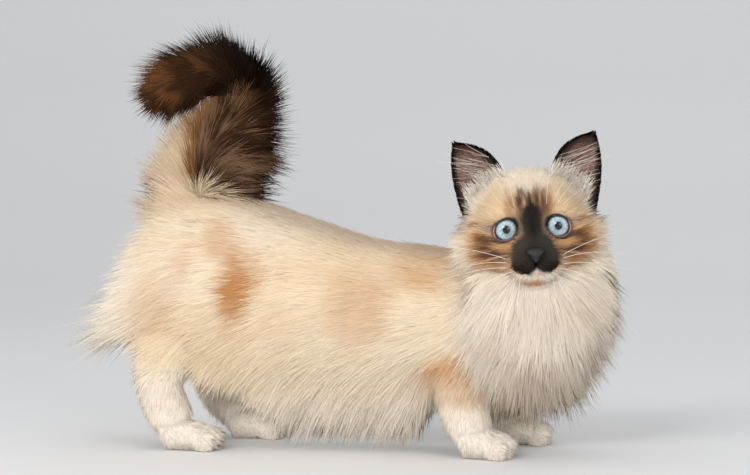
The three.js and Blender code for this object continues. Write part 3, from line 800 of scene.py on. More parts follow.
def head_coat(p, n, where):
    q = where["q"]
    away = q - V(0, 36, -16)
    far = np.linalg.norm(away, axis=1)
    lie = unit(away) + V(0, -0.35, 0)
    behind = ramp(q[:, 1], 0, -22)
    lie = mix(lie, V(0, -0.6, -1.0), behind[:, None] * 0.8)
    cheek = ramp(np.abs(q[:, 0]), 26, 42) * ramp(q[:, 2], 26, 4)
    lie = lie + cheek[:, None] * V(0, 0.15, -0.45)
    under = ramp(q[:, 2], -30, -42)
    lie = lie + under[:, None] * V(0, 0.25, -0.8)
    length = 2.2 + 0.17 * np.maximum(far - 14, 0) + 11 * cheek + 9 * under * ramp(q[:, 1], 34, 10)
    length = np.maximum(length, 14 * behind)
    length = np.minimum(length, 24) * (1 + 0.15 * noise(q, 5, 53))
    width = np.clip(0.36 + 0.032 * length, 0.4, 0.95)
    density = np.clip(3.9 - 0.17 * length, 1.2, 3.9) * mix(1.0, 0.5, behind)
    return lie @ HEAD.T, length, width, 0.26 + 0.42 * cheek, density


def leg_coat(p, n, where):
    z = p[:, 2]
    foot = ramp(z, 30, 14)
    ahead = foot * ramp(n[:, 0], -0.4, 0.3)
    lie = np.stack([mix(-0.15, 1.0, ahead), 0 * z, mix(-1.0, -0.45, ahead)], 1)
    length = np.interp(z, [0, 8, 16, 34, 60, 90], [2.8, 3.4, 6.5, 9, 12, 20])
    width = np.interp(z, [0, 14, 40, 80], [0.55, 0.6, 0.8, 1.0])
    return lie, length, width, 0.2, np.interp(z, [0, 20, 60], [1.5, 1.1, 0.7])


def tail_coat(p, n, where):
    t, angle = where["tail"]
    tangent, _, _ = TAIL.frame(t)
    rear = ramp(np.cos(angle), -0.2, 0.7) * ramp(t, 0.4, 0.2)
    front = ramp(np.cos(angle), 0.1, -0.6) * ramp(t, 0.5, 0.3)
    lie = tangent * 0.85 + n * 0.75 + rear[:, None] * V(-0.5, 0, 0) + V(0, 0, -0.12)
    lie = lie + front[:, None] * V(0.5, 0, -0.7)
    length = mix(33, 25, ramp(t, 0.35, 0.55)) + rear * mix(8, -8, ramp(t, 0.06, 0.22)) + 3 * noise(p, 12, 54)
    length = length * ramp(t, -0.12, 0.12) * mix(1.0, 0.72, ramp(t, 0.84, 1.0)) + 8 * front
    return lie, length, 0.95, 0.5, 1.9


PART_COATS = (torso_coat, neck_coat, head_coat, leg_coat, tail_coat)


def coat_fields(p, n):
    where = regions(p)
    s = where["shares"]
    lie, *sizes = 0.0, 0.0, 0.0, 0.0, 0.0
    for i, coat in enumerate(PART_COATS):
        part_lie, *part_sizes = coat(p, n, where)
        lie = lie + s[:, i : i + 1] * unit(part_lie)
        sizes = [size + s[:, i] * value for size, value in zip(sizes, part_sizes)]
    return where, lie, *sizes


def bare(p, q, n):
    """Where no fur grows: the eyes, the nose leather, the lips and the soles."""
    none = (eye_distance(q) < 0.9) & (np.abs(np.abs(q[:, 0]) - EYE_CENTRE[0]) < 16)
    nose = np.linalg.norm((q - NOSE_CENTRE) / V(6.6, 9, 5.2), axis=1) < 1
    lips = (mouth_distance(q) < 0.8) & (q[:, 1] > 26)
    return none | nose | lips | ((p[:, 2] < 1.2) & (n[:, 2] < -0.5))


def scatter(skin):
    """Roots of the coat, spread over the skin with the density of each place."""
    mesh = skin.data
    mesh.calc_loop_triangles()
    triangles = np.empty(len(mesh.loop_triangles) * 3, np.int32)
    mesh.loop_triangles.foreach_get("vertices", triangles)
    normals = np.empty(len(mesh.vertices) * 3, np.float32)
    mesh.vertex_normals.foreach_get("vector", normals)
    points, normals, triangles = coords(mesh), normals.reshape(-1, 3), triangles.reshape(-1, 3)
    a, b, c = (points[triangles[:, k]] for k in range(3))
    cross = np.cross(b - a, c - a)
    area = np.linalg.norm(cross, axis=1) / 2
    wanted = area * coat_fields((a + b + c) / 3, unit(cross))[-1]
    total = int(wanted.sum())
    picks = np.searchsorted(np.cumsum(wanted) / wanted.sum(), rng.random(total))
    picks = np.minimum(picks, len(triangles) - 1)
    u, v = rng.random(total), rng.random(total)
    flip = u + v > 1
    u, v = np.where(flip, 1 - u, u)[:, None], np.where(flip, 1 - v, v)[:, None]
    roots = a[picks] * (1 - u - v) + b[picks] * u + c[picks] * v
    i, j, k = triangles[picks].T
    n = unit(normals[i] * (1 - u - v) + normals[j] * u + normals[k] * v)
    keep = ~bare(roots, to_head(roots), n)
    return roots[keep], n[keep].astype(float)


CLUMP_SIZE = 7.0


def clump_pull(p, reach):
    """From each root towards the middle of its clump."""
    cell = np.floor(p / CLUMP_SIZE)
    best, pull = np.full(len(p), 1e9), np.zeros((len(p), 3))
    for step in np.ndindex(3, 3, 3):
        c = cell + np.array(step) - 1
        centre = (c + np.stack([hashed(c, 61 + k) for k in range(3)], 1)) * CLUMP_SIZE
        d = np.linalg.norm(centre - p, axis=1)
        nearer = d < best
        best = np.where(nearer, d, best)
        pull = np.where(nearer[:, None], centre - p, pull)
    return pull * reach[:, None]


RINGS = [(0.0, 0.85), (0.52, 0.9)]  # how far along a tuft each ring is, and its share of the width
THICKNESS = 0.3  # of a tuft's width
STRAY = 0.055  # how far tips stray, as a share of a tuft's length
ROOT_DEPTH = 1.2  # how far below the skin a tuft starts


def tufts(p, n, lie, length, width, lift, clump=0.5):
    """Closed, tapered, bent tufts: points and normals by tuft and ring point, and how far along each is."""
    lie = unit(lie)
    outward = dot(lie, n)
    flat = unit(lie - n * outward)
    start = unit(flat + n * np.maximum(lift[:, None], outward))
    target = unit(np.where(outward < 0.06, flat + 0.06 * n, lie))
    size = length[:, None]
    stray = STRAY * size * rng.normal(size=p.shape)
    middle = p + start * size * 0.45
    pull = clump_pull(p, np.clip(length / 26, 0, 1.5) ** 1.5 * clump)
    pull = pull - n * dot(pull, n)
    end = middle + target * size * 0.55 + stray + pull
    base = p - n * ROOT_DEPTH
    shape, normals, along = [], [], []

    def curve(s):
        return base * (1 - s) ** 2 + 2 * middle * s * (1 - s) + end * s * s

    def direction(s):
        return unit(2 * (middle - base) * (1 - s) + 2 * (end - middle) * s)

    for s, share in RINGS:
        tangent = direction(s)
        across = unit(np.cross(tangent, n))
        out = np.cross(across, tangent)
        w = width[:, None] * share / 2
        at = curve(s)
        for side, top in ((1, 0), (0, 1), (-1, 0)):
            shape.append(at + across * w * side + out * w * 2 * THICKNESS * top)
            normals.append(unit(n + across * 0.5 * side + out * 0.4))
            along.append(s)
    shape.append(curve(1.0))
    normals.append(unit(n + direction(1.0) * 0.3))
    along.append(1.0)
    points = np.stack(shape, 1)
    points[..., 2] = np.maximum(points[..., 2], HAIR_LEVEL)
    return points, np.stack(normals, 1), np.array(along)


def tuft_faces():
    faces = [[0, 1, 2]]
    for k in range(3):
        m = (k + 1) % 3
        faces += [[k, 3 + m, m], [k, 3 + k, 3 + m], [3 + k, 6, 3 + m]]
    return np.array(faces)


UV_PATCH = 0.0015  # half the size of a tuft's patch on its piece's bake map


def tuft_object(name, points, normals, along, colours, chart, material):
    count, per, _ = points.shape
    faces = (tuft_faces()[None] + (np.arange(count) * per)[:, None, None]).reshape(-1, 3).astype(np.int32)
    mesh = bpy.data.meshes.new(name)
    mesh.vertices.add(count * per)
    mesh.vertices.foreach_set("co", world(points.reshape(-1, 3)).astype(np.float32).ravel())
    mesh.loops.add(faces.size)
    mesh.loops.foreach_set("vertex_index", faces.ravel())
    mesh.polygons.add(len(faces))
    mesh.polygons.foreach_set("loop_start", np.arange(len(faces), dtype=np.int32) * 3)
    made_smooth(mesh)
    mesh.update(calc_edges=True)
    add_values(mesh, "tint", np.repeat(colours, per, 0))
    add_values(mesh, "along", np.tile(along, count))
    add_values(mesh, "strand", np.repeat(rng.random(count), per))
    offset = np.stack([along * 2 - 1, np.arange(per) % 3 - 1.0], 1) * UV_PATCH
    uv = np.repeat(0.01 + 0.98 * np.clip(chart, 0, 1), per, 0) + np.tile(offset, (count, 1))
    layer = mesh.uv_layers.new(name="OFBake")
    layer.data.foreach_set("uv", uv[faces.ravel()].astype(np.float32).ravel())
    mesh.normals_split_custom_set_from_vertices(normals.reshape(-1, 3))
    mesh.materials.append(material)
    return linked(name, mesh)


def add_values(mesh, name, values):
    if values.ndim == 2:
        layer = mesh.attributes.new(name, "FLOAT_COLOR", "POINT")
        rgba = np.concatenate([np.clip(values, 0, 1), np.ones((len(values), 1))], 1)
        layer.data.foreach_set("color", rgba.astype(np.float32).ravel())
    else:
        layer = mesh.attributes.new(name, "FLOAT", "POINT")
        layer.data.foreach_set("value", values.astype(np.float32))


# Where the coat's pieces part: along the torso and the tail, and round the head from the nose
TORSO_PARTS_AT, TAIL_PARTS_AT, HEAD_PARTS_AT = 0.47, 0.42, 0.42


def half_chart(t, parts_at):
    """Along a form in two pieces: each piece's own run from 0 to 1."""
    return np.where(t < parts_at, t / parts_at, (t - parts_at) / (1 - parts_at))


def coat_charts(p, where):
    """Each root's piece of the coat, and its place on that piece's unwrap."""
    full_turn = 2 * np.pi
    t, angle = where["torso"]
    from_belly = np.where(p[:, 1] < 0, np.cos(angle), -np.cos(angle))
    turn = np.abs(np.arctan2(np.sin(angle), from_belly) + np.pi / 2) / np.pi
    ends = np.where(t < TORSO_PARTS_AT, "coat_rear_", "coat_fore_")
    torso_names = np.char.add(ends, np.where(p[:, 1] < 0, "right", "left"))
    neck_t, neck_angle = where["neck"]
    direction = unit(where["q"] - HEAD_POLE)
    polar = np.arccos(np.clip(direction[:, 1], -1, 1)) / np.pi
    around = np.arctan2(direction[:, 2], direction[:, 0])
    face = polar < HEAD_PARTS_AT
    radius = np.where(face, polar / HEAD_PARTS_AT, (1 - polar) / (1 - HEAD_PARTS_AT))
    leg_r, leg_angle, leg_number = where["leg"]
    down_leg = (95 - p[:, 2] + 15 * leg_r) / 150
    tail_t, tail_angle = where["tail"]
    tail_base = tail_t < TAIL_PARTS_AT
    names = [
        torso_names,
        np.full(len(p), "coat_ruff"),
        np.where(face, "coat_face", "coat_crown"),
        np.where(leg_number < 2, "coat_forelegs", "coat_hindlegs"),
        np.where(tail_base, "coat_tail_base", "coat_tail_plume"),
    ]
    charts = [
        (half_chart(t, TORSO_PARTS_AT), turn),
        (neck_t, neck_angle / full_turn + 0.5),
        (0.5 + 0.48 * radius * np.cos(around), 0.5 + 0.48 * radius * np.sin(around)),
        (0.5 * (leg_number % 2) + 0.49 * (leg_angle / full_turn + 0.5), down_leg),
        (half_chart(tail_t, TAIL_PARTS_AT), tail_angle / full_turn + 0.5),
    ]
    label = where["shares"].argmax(1)
    rows = np.arange(len(p))
    return np.stack(names)[label, rows], np.stack([np.stack(c, 1) for c in charts])[label, rows]


def make_coat(skin, material):
    roots, n = scatter(skin)
    where, lie, length, width, lift, _ = coat_fields(roots, n)
    length = length * (1 + 0.22 * rng.normal(size=len(roots))).clip(0.55, 1.5)
    width = width * rng.uniform(0.75, 1.25, len(roots))
    lie = unit(lie) + 0.16 * noise3(roots, 22, 71) + 0.12 * noise3(roots, 8, 75)
    lie = lie + 0.06 * rng.normal(size=roots.shape)
    names, chart = coat_charts(roots, where)
    seen = roots + unit(lie) * (0.45 * length)[:, None]
    colours = tint(seen, dict(where, q=mix(where["q"], to_head(seen), 0.6)))
    made = []
    for name in sorted(set(names)):
        here = names == name
        shape = tufts(roots[here], n[here], lie[here], length[here], width[here], lift[here])
        made.append(tuft_object(str(name), *shape, colours[here], chart[here], material))
    return made


# Materials
def new_material(name):
    material = bpy.data.materials.new(name)
    material.use_nodes = True
    nodes = material.node_tree.nodes
    return material, nodes, material.node_tree.links, nodes["Principled BSDF"]


def attribute(nodes, name):
    node = nodes.new("ShaderNodeAttribute")
    node.attribute_name = name
    return node


def maths(nodes, links, operation, a, b):
    """One operation on two values, where the second may be a plain number."""
    node = nodes.new("ShaderNodeMath")
    node.operation = operation
    links.new(a, node.inputs[0])
    if isinstance(b, float):
        node.inputs[1].default_value = b
    else:
        links.new(b, node.inputs[1])
    return node.outputs[0]


def set_constants(node, **values):
    """Plain values on a node's own sockets, with _ for each space in a name."""
    for name, value in values.items():
        node.inputs[name.replace("_", " ")].default_value = value


def mapped(nodes, links, value, low, high, to_low, to_high):
    node = nodes.new("ShaderNodeMapRange")
    links.new(value, node.inputs["Value"])
    set_constants(node, From_Min=low, From_Max=high, To_Min=to_low, To_Max=to_high)
    return node.outputs["Result"]


def brightened(nodes, links, colour, factor):
    node = nodes.new("ShaderNodeVectorMath")
    node.operation = "SCALE"
    links.new(colour, node.inputs[0])
    links.new(factor, node.inputs["Scale"])
    return node.outputs["Vector"]


def coat_material():
    material, nodes, links, shader = new_material("coat")
    colour = attribute(nodes, "tint").outputs["Color"]
    # Each tuft darker at its root and paler at its tip: painted shade deep in the coat, with paler tips; and
    # a random brightness for each tuft
    along = mapped(nodes, links, attribute(nodes, "along").outputs["Fac"], 0, 1, 0.86, 1.1)
    strand = mapped(nodes, links, attribute(nodes, "strand").outputs["Fac"], 0, 1, 0.9, 1.1)
    shade = maths(nodes, links, "MULTIPLY", along, strand)
    links.new(brightened(nodes, links, colour, shade), shader.inputs["Base Color"])
    set_constants(shader, Roughness=0.6, Specular_IOR_Level=0.04)
    return material


def skin_material():
    material, nodes, links, shader = new_material("skin")
    colour = attribute(nodes, "tint").outputs["Color"]
    grain = nodes.new("ShaderNodeTexNoise")
    grain.inputs["Scale"].default_value = 700
    # The skin under the coat is darker than the coat's own tint, with a fine random grain: painted shade
    # under the fur
    shade = mapped(nodes, links, grain.outputs["Fac"], 0.3, 0.7, 0.78, 0.95)
    links.new(brightened(nodes, links, colour, shade), shader.inputs["Base Color"])
    set_constants(shader, Roughness=0.75, Specular_IOR_Level=0.04)
    bump = nodes.new("ShaderNodeBump")
    set_constants(bump, Distance=0.0006)
    links.new(grain.outputs["Fac"], bump.inputs["Height"])
    links.new(bump.outputs["Normal"], shader.inputs["Normal"])
    return material


def plain_material(name, colour, roughness):
    material, _, _, shader = new_material(name)
    set_constants(shader, Base_Color=(*colour, 1), Roughness=roughness)
    return material


def leather_material():
    material, nodes, links, shader = new_material("nose_leather")
    grain = nodes.new("ShaderNodeTexVoronoi")
    grain.inputs["Scale"].default_value = 1400
    bump = nodes.new("ShaderNodeBump")
    set_constants(bump, Distance=0.0002, Strength=0.5)
    links.new(grain.outputs["Distance"], bump.inputs["Height"])
    links.new(bump.outputs["Normal"], shader.inputs["Normal"])
    set_constants(shader, Base_Color=(0.012, 0.010, 0.010, 1), Roughness=0.38)
    return material


def tinted_material(name, roughness, coat=0.0):
    material, nodes, links, shader = new_material(name)
    links.new(attribute(nodes, "tint").outputs["Color"], shader.inputs["Base Color"])
    set_constants(shader, Roughness=roughness, Coat_Weight=coat, Coat_Roughness=0.1)
    return material


# Eyes
PUPIL = 2.8
IRIS_STOPS = [  # distance from the eye's axis, and colour
    (0.0, (0.003, 0.003, 0.004)),
    (PUPIL - 0.15, (0.003, 0.003, 0.004)),
    (PUPIL + 0.15, (0.20, 0.27, 0.30)),
    (PUPIL + 1.2, (0.40, 0.50, 0.54)),
    (5.4, (0.50, 0.61, 0.65)),
    (6.5, (0.34, 0.43, 0.46)),
    (7.2, (0.13, 0.16, 0.17)),
    (7.8, (0.015, 0.014, 0.014)),
]
EYE_DEEPEST = 12.0
PUPIL_RAISED = 0.3


def eye_material():
    """Rings of the iris by distance from the eye's axis, with fibres that run out from the pupil."""
    material, nodes, links, shader = new_material("eye")
    fibres = nodes.new("ShaderNodeTexNoise")
    set_constants(fibres, Scale=1.0, Detail=4)
    links.new(attribute(nodes, "fibre").outputs["Vector"], fibres.inputs["Vector"])
    ring = nodes.new("ShaderNodeValToRGB")
    share = maths(nodes, links, "DIVIDE", attribute(nodes, "ring").outputs["Fac"], EYE_DEEPEST)
    links.new(share, ring.inputs["Fac"])
    stops = ring.color_ramp.elements
    while len(stops) < len(IRIS_STOPS):
        stops.new(0.5)
    for stop, (radius, colour) in zip(stops, IRIS_STOPS):
        stop.position = radius / EYE_DEEPEST
        stop.color = (*colour, 1)
    shade = mapped(nodes, links, fibres.outputs["Fac"], 0.3, 0.7, 0.72, 1.25)
    links.new(brightened(nodes, links, ring.outputs["Color"], shade), shader.inputs["Base Color"])
    set_constants(shader, Roughness=0.08, Specular_IOR_Level=0.6)
    return material


def make_eye(name, side, material):
    direction, faces = ball(70, 72)
    v = direction * EYE_RADIUS
    off = np.hypot(v[:, 0], v[:, 2])
    v[:, 1] += 0.9 * np.clip(1 - (off / 8.2) ** 2, 0, 1) ** 1.2 * (v[:, 1] > 0)
    made = mesh_object(name, world(from_head(EYE_CENTRE * V(side, 1, 1) + v)), faces)
    u, w = v[:, 0], v[:, 2] - PUPIL_RAISED
    ring = np.where(v[:, 1] > 0, mix(np.hypot(u * 1.10, w), off, ramp(off, 2.5, 5.0)), EYE_DEEPEST)
    add_values(made.data, "ring", ring)
    turn = np.arctan2(w, u)
    fibre = np.stack([6 * np.cos(turn), 6 * np.sin(turn), 0.35 * off + 20 * side], 1)
    layer = made.data.attributes.new("fibre", "FLOAT_VECTOR", "POINT")
    layer.data.foreach_set("vector", fibre.astype(np.float32).ravel())
    made.data.materials.append(material)
    return made


LID_LIFT, LID_THICK = 0.9, 0.75  # the lid's rim above the eyeball, and its radius


def tube(path, radii, sides=8, closed=False):
    """A round tube along a path, with flat ends unless it closes on itself."""
    path = np.asarray(path, float)
    step = np.roll(path, -1, 0) - np.roll(path, 1, 0) if closed else np.gradient(path, axis=0)
    tangent = unit(step)
    helper = V(0.123, 0.31, 0.94)
    a = unit(np.cross(tangent, helper))
    b = np.cross(tangent, a)
    turn = np.arange(sides) * 2 * np.pi / sides
    ring = a[:, None] * np.cos(turn)[None, :, None] + b[:, None] * np.sin(turn)[None, :, None]
    points = path[:, None] + ring * np.asarray(radii, float)[:, None, None]
    faces = grid_faces(len(path), sides, wrap=True)
    count = len(path) * sides
    if closed:
        last = (len(path) - 1) * sides
        faces += [[last + k, last + (k + 1) % sides, (k + 1) % sides, k] for k in range(sides)]
    else:
        faces += [list(range(sides))[::-1], list(range(count - sides, count))]
    return points.reshape(-1, 3), faces


def make_lid(name, side, material):
    turn = np.linspace(0, 2 * np.pi, 72, endpoint=False)
    u = LID["half"] * np.cos(turn)
    w = LID["high"] * np.sin(turn) - 0.10 * u
    forward = np.sqrt((EYE_RADIUS + LID_LIFT) ** 2 - u**2 - w**2)
    path = EYE_CENTRE * V(side, 1, 1) + np.stack([u * side, forward, w], 1)
    points, faces = tube(path, np.full(len(path), LID_THICK), 8, closed=True)
    made = mesh_object(name, world(from_head(points)), faces)
    corner = ramp((points[:, 0] * side - EYE_CENTRE[0]), 6.6, 8.6)
    below = ramp(points[:, 2] - EYE_CENTRE[2], -2, -7)
    colour = painted(BLACK, (mix(SEPIA, PINK, 0.3), 0.6 * below), (PINK * 0.6, corner))
    add_values(made.data, "tint", colour)
    made.data.materials.append(material)
    return made


# Nose leather
NOSE_HALF = V(8.2, 5.5, 5.4)
NOSTRIL_OUT = 3.9  # of each nostril from the nose's middle


def make_nose(material):
    direction, faces = ball(60, 72)
    x, y, z = direction.T
    v = direction * NOSE_HALF
    v[:, 0] *= 0.72 + 0.34 * z - 0.12 * z**2
    v[:, 2] += 1.2 * x**2
    for side in (1, -1):
        off = v[:, 0] * side - NOSTRIL_OUT
        w = (v[:, 2] + 1.1 - 0.4 * off) / 1.15
        v[:, 1] -= 2.4 * np.exp(-((off / 1.9) ** 2 + w**2)) * (y > 0)
    cleft = np.exp(-((v[:, 0] / 0.5) ** 2)) * ramp(v[:, 2], 1.5, -2) * (y > 0)
    v[:, 1] -= 0.5 * cleft
    made = mesh_object("nose_leather_piece", world(from_head(NOSE_CENTRE + v)), faces)
    made.data.materials.append(material)
    return made


# Ears: a thin cupped shell over u (root to tip) and v (inner edge to outer edge)
EAR = dict(
    inner=V(14.5, -2, 34), outer=V(47, -10, 8), tip=V(49, -12, 63), blunt=V(4, 0, -1.5), depth=15.0,
    thick=2.6, inner_bulge=V(-4.5, 0, 4), outer_bulge=V(2.5, 0, 0),
)
EARS_TO_LEFT = 2.0  # both ears sit this far to the cat's left of the middle of its face
EAR_PINK = srgb(134, 100, 92)


def ear_point(u, v, offset=0.0):
    """The shell's middle surface, moved along its own depth by offset."""
    offset = np.broadcast_to(offset, u.shape)[:, None]
    wide = np.sqrt(np.clip(1 - np.maximum(0, u) ** 8, 0, 1)) * 0.96 + 0.04
    bulge = np.sin(np.pi * np.clip(u, 0, 1))[:, None]
    inner = mix(EAR["inner"], EAR["tip"] - EAR["blunt"], u[:, None]) + bulge * EAR["inner_bulge"]
    outer = mix(EAR["outer"], EAR["tip"] + EAR["blunt"], u[:, None]) + bulge * EAR["outer_bulge"]
    middle = (inner + outer) / 2
    across = (outer - inner) * (v / 2 * wide)[:, None]
    cup = V(4, -EAR["depth"], 2) * ((1 - v**2) * (1 - 0.72 * np.clip(u, 0, 1)))[:, None]
    return middle + across + cup + V(-0.25, 1, -0.1) * offset


def ear_tint(u, v):
    """The inside of the cup: pinkish, with a dark rim and tip."""
    edge = np.abs(v) + 0.18 * np.clip(u, 0, 1) ** 2
    rim = np.maximum(ramp(edge, 0.62, 0.86), ramp(u, 0.7, 0.9))
    speckle = noise(np.stack([u * 60, v * 25, 0 * u], 1), 3, 81)
    return painted(EAR_PINK, (SEPIA, 0.25 + 0.3 * speckle + 0.6 * rim), (SEAL, rim))


def on_side(points, side):
    return points * V(side, 1, 1) - V(EARS_TO_LEFT, 0, 0)


def make_ear(name, side, material):
    rows, columns = 60, 41
    steps = 1.0 - 1.18 * np.linspace(1, 0, rows) ** 1.5
    u, v = (g.ravel() for g in np.meshgrid(steps, np.linspace(-1, 1, columns), indexing="ij"))
    half = EAR["thick"] / 2 * (1 - 0.45 * np.clip(u, 0, 1)) * np.sqrt(np.clip(1.02 - v**6, 0.02, 1))
    front, back = ear_point(u, v, half), ear_point(u, v, -half)
    points = on_side(np.concatenate([front, back]), side)
    face = grid_faces(rows, columns)
    count = rows * columns
    faces = [f[::-1] for f in face] + [[i + count for i in f] for f in face]
    edge = [*range(columns), *range(2 * columns - 1, count, columns)]
    edge += [*range(count - 2, count - columns - 1, -1), *range(count - 2 * columns, 0, -columns)]
    for a, b in zip(edge, edge[1:] + edge[:1]):
        faces.append([a, b, b + count, a + count])
    made = mesh_object(name, world(from_head(points)), faces)
    add_values(made.data, "tint", np.concatenate([ear_tint(u, v), np.tile(SEAL, (count, 1))]))
    made.data.materials.append(material)
    fix_normals(made)
    return made


def fix_normals(made):
    bm = bmesh.new()
    bm.from_mesh(made.data)
    bmesh.ops.recalc_face_normals(bm, faces=bm.faces)
    bm.to_mesh(made.data)
    bm.free()


def ear_frame(u, v, offset):
    """A place on the ear, with its directions towards the tip and towards the outer edge."""
    step = 0.01
    up = unit(ear_point(np.minimum(u + step, 0.98), v) - ear_point(u - step, v))
    out = unit(ear_point(u, np.minimum(v + step, 1)) - ear_point(u, v - step))
    return ear_point(u, v, offset), up, out


def dark_hair(count):
    return np.tile(SEAL, (count, 1)) * rng.uniform(0.5, 1.3, (count, 1))


def pale_hair(count, least):
    return mix(TAUPE, WHITE, rng.uniform(least, 1.0, (count, 1)))


EAR_BANDS = 5  # the kinds of ear hair, each with its own band of the ear's bake map


def ear_hairs(band, u, v, root, n, lie, length, width, lift, colour):
    """One kind of ear hair, with one value a hair for everything and a place on the ear's unwrap."""
    count = len(root)
    chart = np.stack([(band + 0.5 + 0.46 * v) / EAR_BANDS, (u + 0.15) / 1.2], 1)
    n = np.broadcast_to(n, (count, 3))
    return root, n, lie, length, np.full(count, width), np.full(count, lift), colour, chart


def ear_back_fur(count):
    u, v = rng.uniform(-0.1, 0.96, count), rng.uniform(-1, 1, count)
    root, up, out = ear_frame(u, v, -EAR["thick"] / 2)
    n = unit(np.cross(up, out))
    n = unit(n * np.where(n[:, 1:2] > 0, -1, 1) + V(0, -0.5, 0))
    lie = up + 0.25 * out * np.sign(v)[:, None]
    return ear_hairs(0, u, v, root, n, lie, rng.uniform(2.5, 4.0, count), 0.7, 0.15, dark_hair(count))


def ear_rim_fur(count):
    """Short hairs along the edge, so that it has no hard line."""
    edge = np.where(rng.random(count) < 0.5, -1.0, 1.0)
    u = rng.uniform(0, 0.985, count)
    root, up, out = ear_frame(u, edge * rng.uniform(0.9, 1.0, count), rng.uniform(-1.2, 1.0, count))
    outward = out * edge[:, None]
    lie = up + 0.12 * outward
    length = rng.uniform(2.0, 3.4, count)
    return ear_hairs(1, u, edge, root, outward, lie, length, 0.6, 0.12, dark_hair(count))


def ear_inner_down(count):
    """Thin down inside the cup, brown to pinkish."""
    u, v = rng.uniform(0, 0.9, count), rng.uniform(-0.85, 0.85, count)
    root, up, out = ear_frame(u, v, EAR["thick"] / 2)
    n = unit(V(0.1, 1, 0.1))
    colour = mix(SEPIA, PINK, rng.uniform(0.0, 0.5, (count, 1)) * (1 - np.abs(v))[:, None])
    return ear_hairs(2, u, v, root, n, up + 0.9 * out, rng.uniform(2.0, 3.5, count), 0.25, 0.1, colour)


def ear_furnishing(count):
    """Long pale hairs that cross the cup from its inner edge and run out past the outer one."""
    u, v = rng.uniform(0.0, 0.5, count), rng.uniform(-0.95, -0.2, count)
    root = ear_point(u, v, EAR["thick"] / 2)
    lie = unit(V(1.0, 0.3, 0.1) + V(0, 0, 0.5) * u[:, None] + 0.1 * rng.normal(size=(count, 3)))
    n = unit(V(0.2, 1, 0.1))
    return ear_hairs(3, u, v, root, n, lie, rng.uniform(16, 38, count), 0.22, 0.3, pale_hair(count, 0.5))


def ear_root_tuft(count):
    """The whitish tuft that covers the foot of the cup."""
    u, v = rng.uniform(-0.12, 0.14, count), rng.uniform(-1.0, 0.5, count)
    root = ear_point(u, v, EAR["thick"] / 2 + 2)
    lie = unit(V(0.55, 0.3, 0.9) + 0.2 * rng.normal(size=(count, 3)))
    n = unit(V(0.1, 1, 0.2))
    return ear_hairs(4, u, v, root, n, lie, rng.uniform(7, 14, count), 0.5, 0.4, pale_hair(count, 0.6))


def ear_fur(name, side, material):
    sets = [
        ear_back_fur(2600), ear_rim_fur(1400), ear_inner_down(700), ear_furnishing(34), ear_root_tuft(520),
    ]
    root, n, lie, length, width, lift, colour, chart = (np.concatenate(s) for s in zip(*sets))
    flip = V(side, 1, 1)
    root, n, lie = from_head(on_side(root, side)), (n * flip) @ HEAD.T, (lie * flip) @ HEAD.T
    shape = tufts(root, n, lie, length, width, lift, clump=0.0)
    chart = chart + 0.002 * rng.random((len(root), 2))
    return tuft_object(name, *shape, colour, chart, material)


# Whiskers and the longer hairs above the eyes: root, bend and tip in the head's frame, for the cat's right
WHISKERS = [
    ((15, 33, -24), (34, 34, -18), (62, 18, -26)),
    ((16, 32, -27), (38, 32, -24), (77, 8, -40)),
    ((14, 34, -29), (36, 32, -32), (66, 12, -66)),
    ((16, 31, -31), (40, 28, -38), (75, 4, -84)),
    ((12, 34, -31), (22, 34, -46), (29, 24, -78)),
    ((14, 33, -33), (30, 30, -48), (48, 14, -76)),
    ((15, 31, -34), (24, 30, -54), (36, 20, -68)),
    ((11, 34, -33), (14, 34, -52), (17, 28, -66)),
    ((16, 31, -22), (40, 30, -10), (70, 10, -6)),
]
BROWS = [
    ((14, 28, 13), (20, 32, 30), (34, 24, 54)),
    ((17, 27, 13), (26, 30, 28), (44, 18, 44)),
    ((20, 26, 12), (32, 28, 24), (54, 12, 30)),
    ((11, 28, 13), (13, 33, 30), (20, 28, 48)),
]


def bend(start, middle, end, count=20):
    s = np.linspace(0, 1, count)[:, None]
    return start * (1 - s) ** 2 + 2 * middle * s * (1 - s) + end * s * s


def make_whiskers(name, side, material):
    parts = []
    for start, middle, end in WHISKERS + BROWS:
        thick = 0.21 if start[2] < 0 else 0.1
        jitter = rng.normal(size=3) * 2.0
        path = bend(V(*start), V(*middle) + jitter * 0.5, V(*end) + jitter)
        radii = np.linspace(thick, 0.04, len(path))
        parts.append(tube(path * V(side, 1, 1), radii, 5))
    points, faces = joined(parts)
    made = mesh_object(name, world(from_head(points)), faces)
    made.data.materials.append(material)
    fix_normals(made)
    return made


# Everything that shows
FLESH = (
    "torso", "neck", "head", "foreleg_right", "foreleg_left", "hindleg_right", "hindleg_left",
    "tail_base", "tail_middle", "tail_tip",
)
SIDES = {"right": 1, "left": -1}


def finish_skin(skin, material):
    mesh = skin.data
    p = coords(mesh)
    add_values(mesh, "tint", tint(p, regions(p)))
    set_coords(mesh, world(p))
    made_smooth(mesh)
    mesh.materials.append(material)


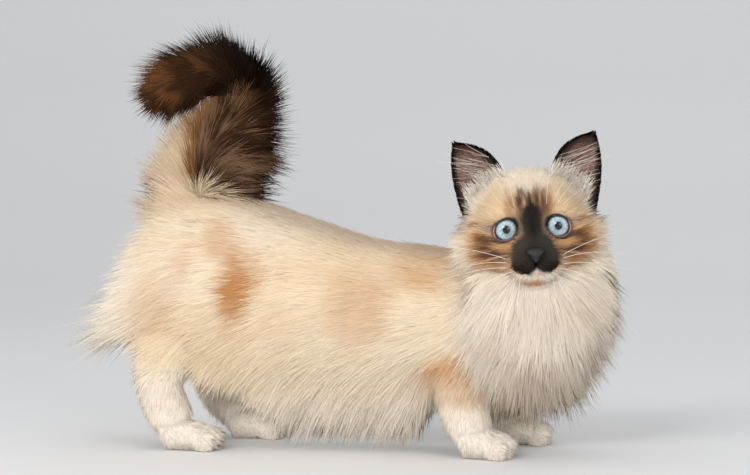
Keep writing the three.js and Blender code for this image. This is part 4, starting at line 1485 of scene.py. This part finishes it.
def build():
    skin = make_skin()
    coat = coat_material()
    for piece in make_coat(skin, coat):
        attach(piece, "root")
        # Light passes between real hairs, and the skin still throws the cat's shadow
        piece.visible_shadow = False
    finish_skin(skin, skin_material())
    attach(skin, "root")
    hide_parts(*FLESH)
    eye, lid = eye_material(), tinted_material("lid", 0.35, 0.3)
    shell, hair = tinted_material("ear_skin", 0.7), plain_material("whisker", (0.9, 0.88, 0.84), 0.4)
    nose = make_nose(leather_material())
    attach(nose, "root")
    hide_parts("nose")
    for name, side in SIDES.items():
        pieces = [
            (make_eye(f"eyeball_{name}", side, eye), "eye", f"eye_{name}"),
            (make_lid(f"lid_{name}", side, lid), "nose_leather", None),
            (make_ear(f"ear_shell_{name}", side, shell), "seal_coat", f"ear_{name}"),
            (ear_fur(f"coat_ear_{name}", side, coat), "seal_coat", None),
            (make_whiskers(f"whiskers_{name}", side, hair), "white_coat", None),
        ]
        for piece, slot, node in pieces:
            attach(piece, "root")
            if node:
                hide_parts(node)


# Studio
AIM = V(15, 0, 156)
CAMERA_AZIMUTH, CAMERA_ELEVATION, CAMERA_DISTANCE = 12.0, 2.0, 1700.0
LENS = 110.2


def make_stage():
    """A pale floor that curves up into a wall behind the cat, in metres."""
    rows = [
        (-6.0, 0.0), (1.2, 0.0), (1.7, 0.02), (2.1, 0.12), (2.4, 0.35), (2.55, 0.7), (2.6, 1.2), (2.6, 4.0),
    ]
    points = [(x, y, z) for y, z in rows for x in (-8.0, 8.0)]
    floor = mesh_object("studio_floor", points, grid_faces(len(rows), 2))
    floor.data.materials.append(plain_material("studio", (0.82, 0.82, 0.82), 0.9))


def turned(made, place, direction):
    """Puts a light or the camera at its place, looking along the direction."""
    made.location = place
    made.rotation_mode = "QUATERNION"
    made.rotation_quaternion = Vector(direction).to_track_quat("-Z", "Y")


def area_light(name, place, aim, size, power):
    data = bpy.data.lights.new(name, "AREA")
    data.shape = "DISK"
    data.size = size
    data.energy = power
    turned(linked(name, data), place, Vector(aim) - Vector(place))


def make_lights():
    aim = (0.0, 0.0, 0.15)
    area_light("key", (-0.7, -1.8, 1.1), aim, 0.9, 16)
    area_light("fill", (1.4, -1.7, 0.8), aim, 1.2, 9)
    area_light("back", (0.4, 1.5, 1.6), aim, 1.0, 3)
    area_light("catch_light", (-0.16, -1.62, 1.15), (0.12, -0.05, 0.17), 0.3, 5)
    world_data = bpy.data.worlds.new("studio_world")
    world_data.use_nodes = True
    set_constants(world_data.node_tree.nodes["Background"], Color=(0.97, 0.98, 1.0, 1), Strength=0.62)
    bpy.context.scene.world = world_data


def make_camera():
    a, e = math.radians(CAMERA_AZIMUTH), math.radians(CAMERA_ELEVATION)
    back = V(math.sin(a) * math.cos(e), -math.cos(a) * math.cos(e), math.sin(e))
    data = bpy.data.cameras.new("camera")
    data.lens = LENS
    data.sensor_width = 36.0
    camera = linked("camera", data)
    turned(camera, world(AIM + back * CAMERA_DISTANCE), -back)
    bpy.context.scene.camera = camera


build()
make_stage()
make_lights()
make_camera()
bpy.context.scene.view_settings.view_transform = "Standard"
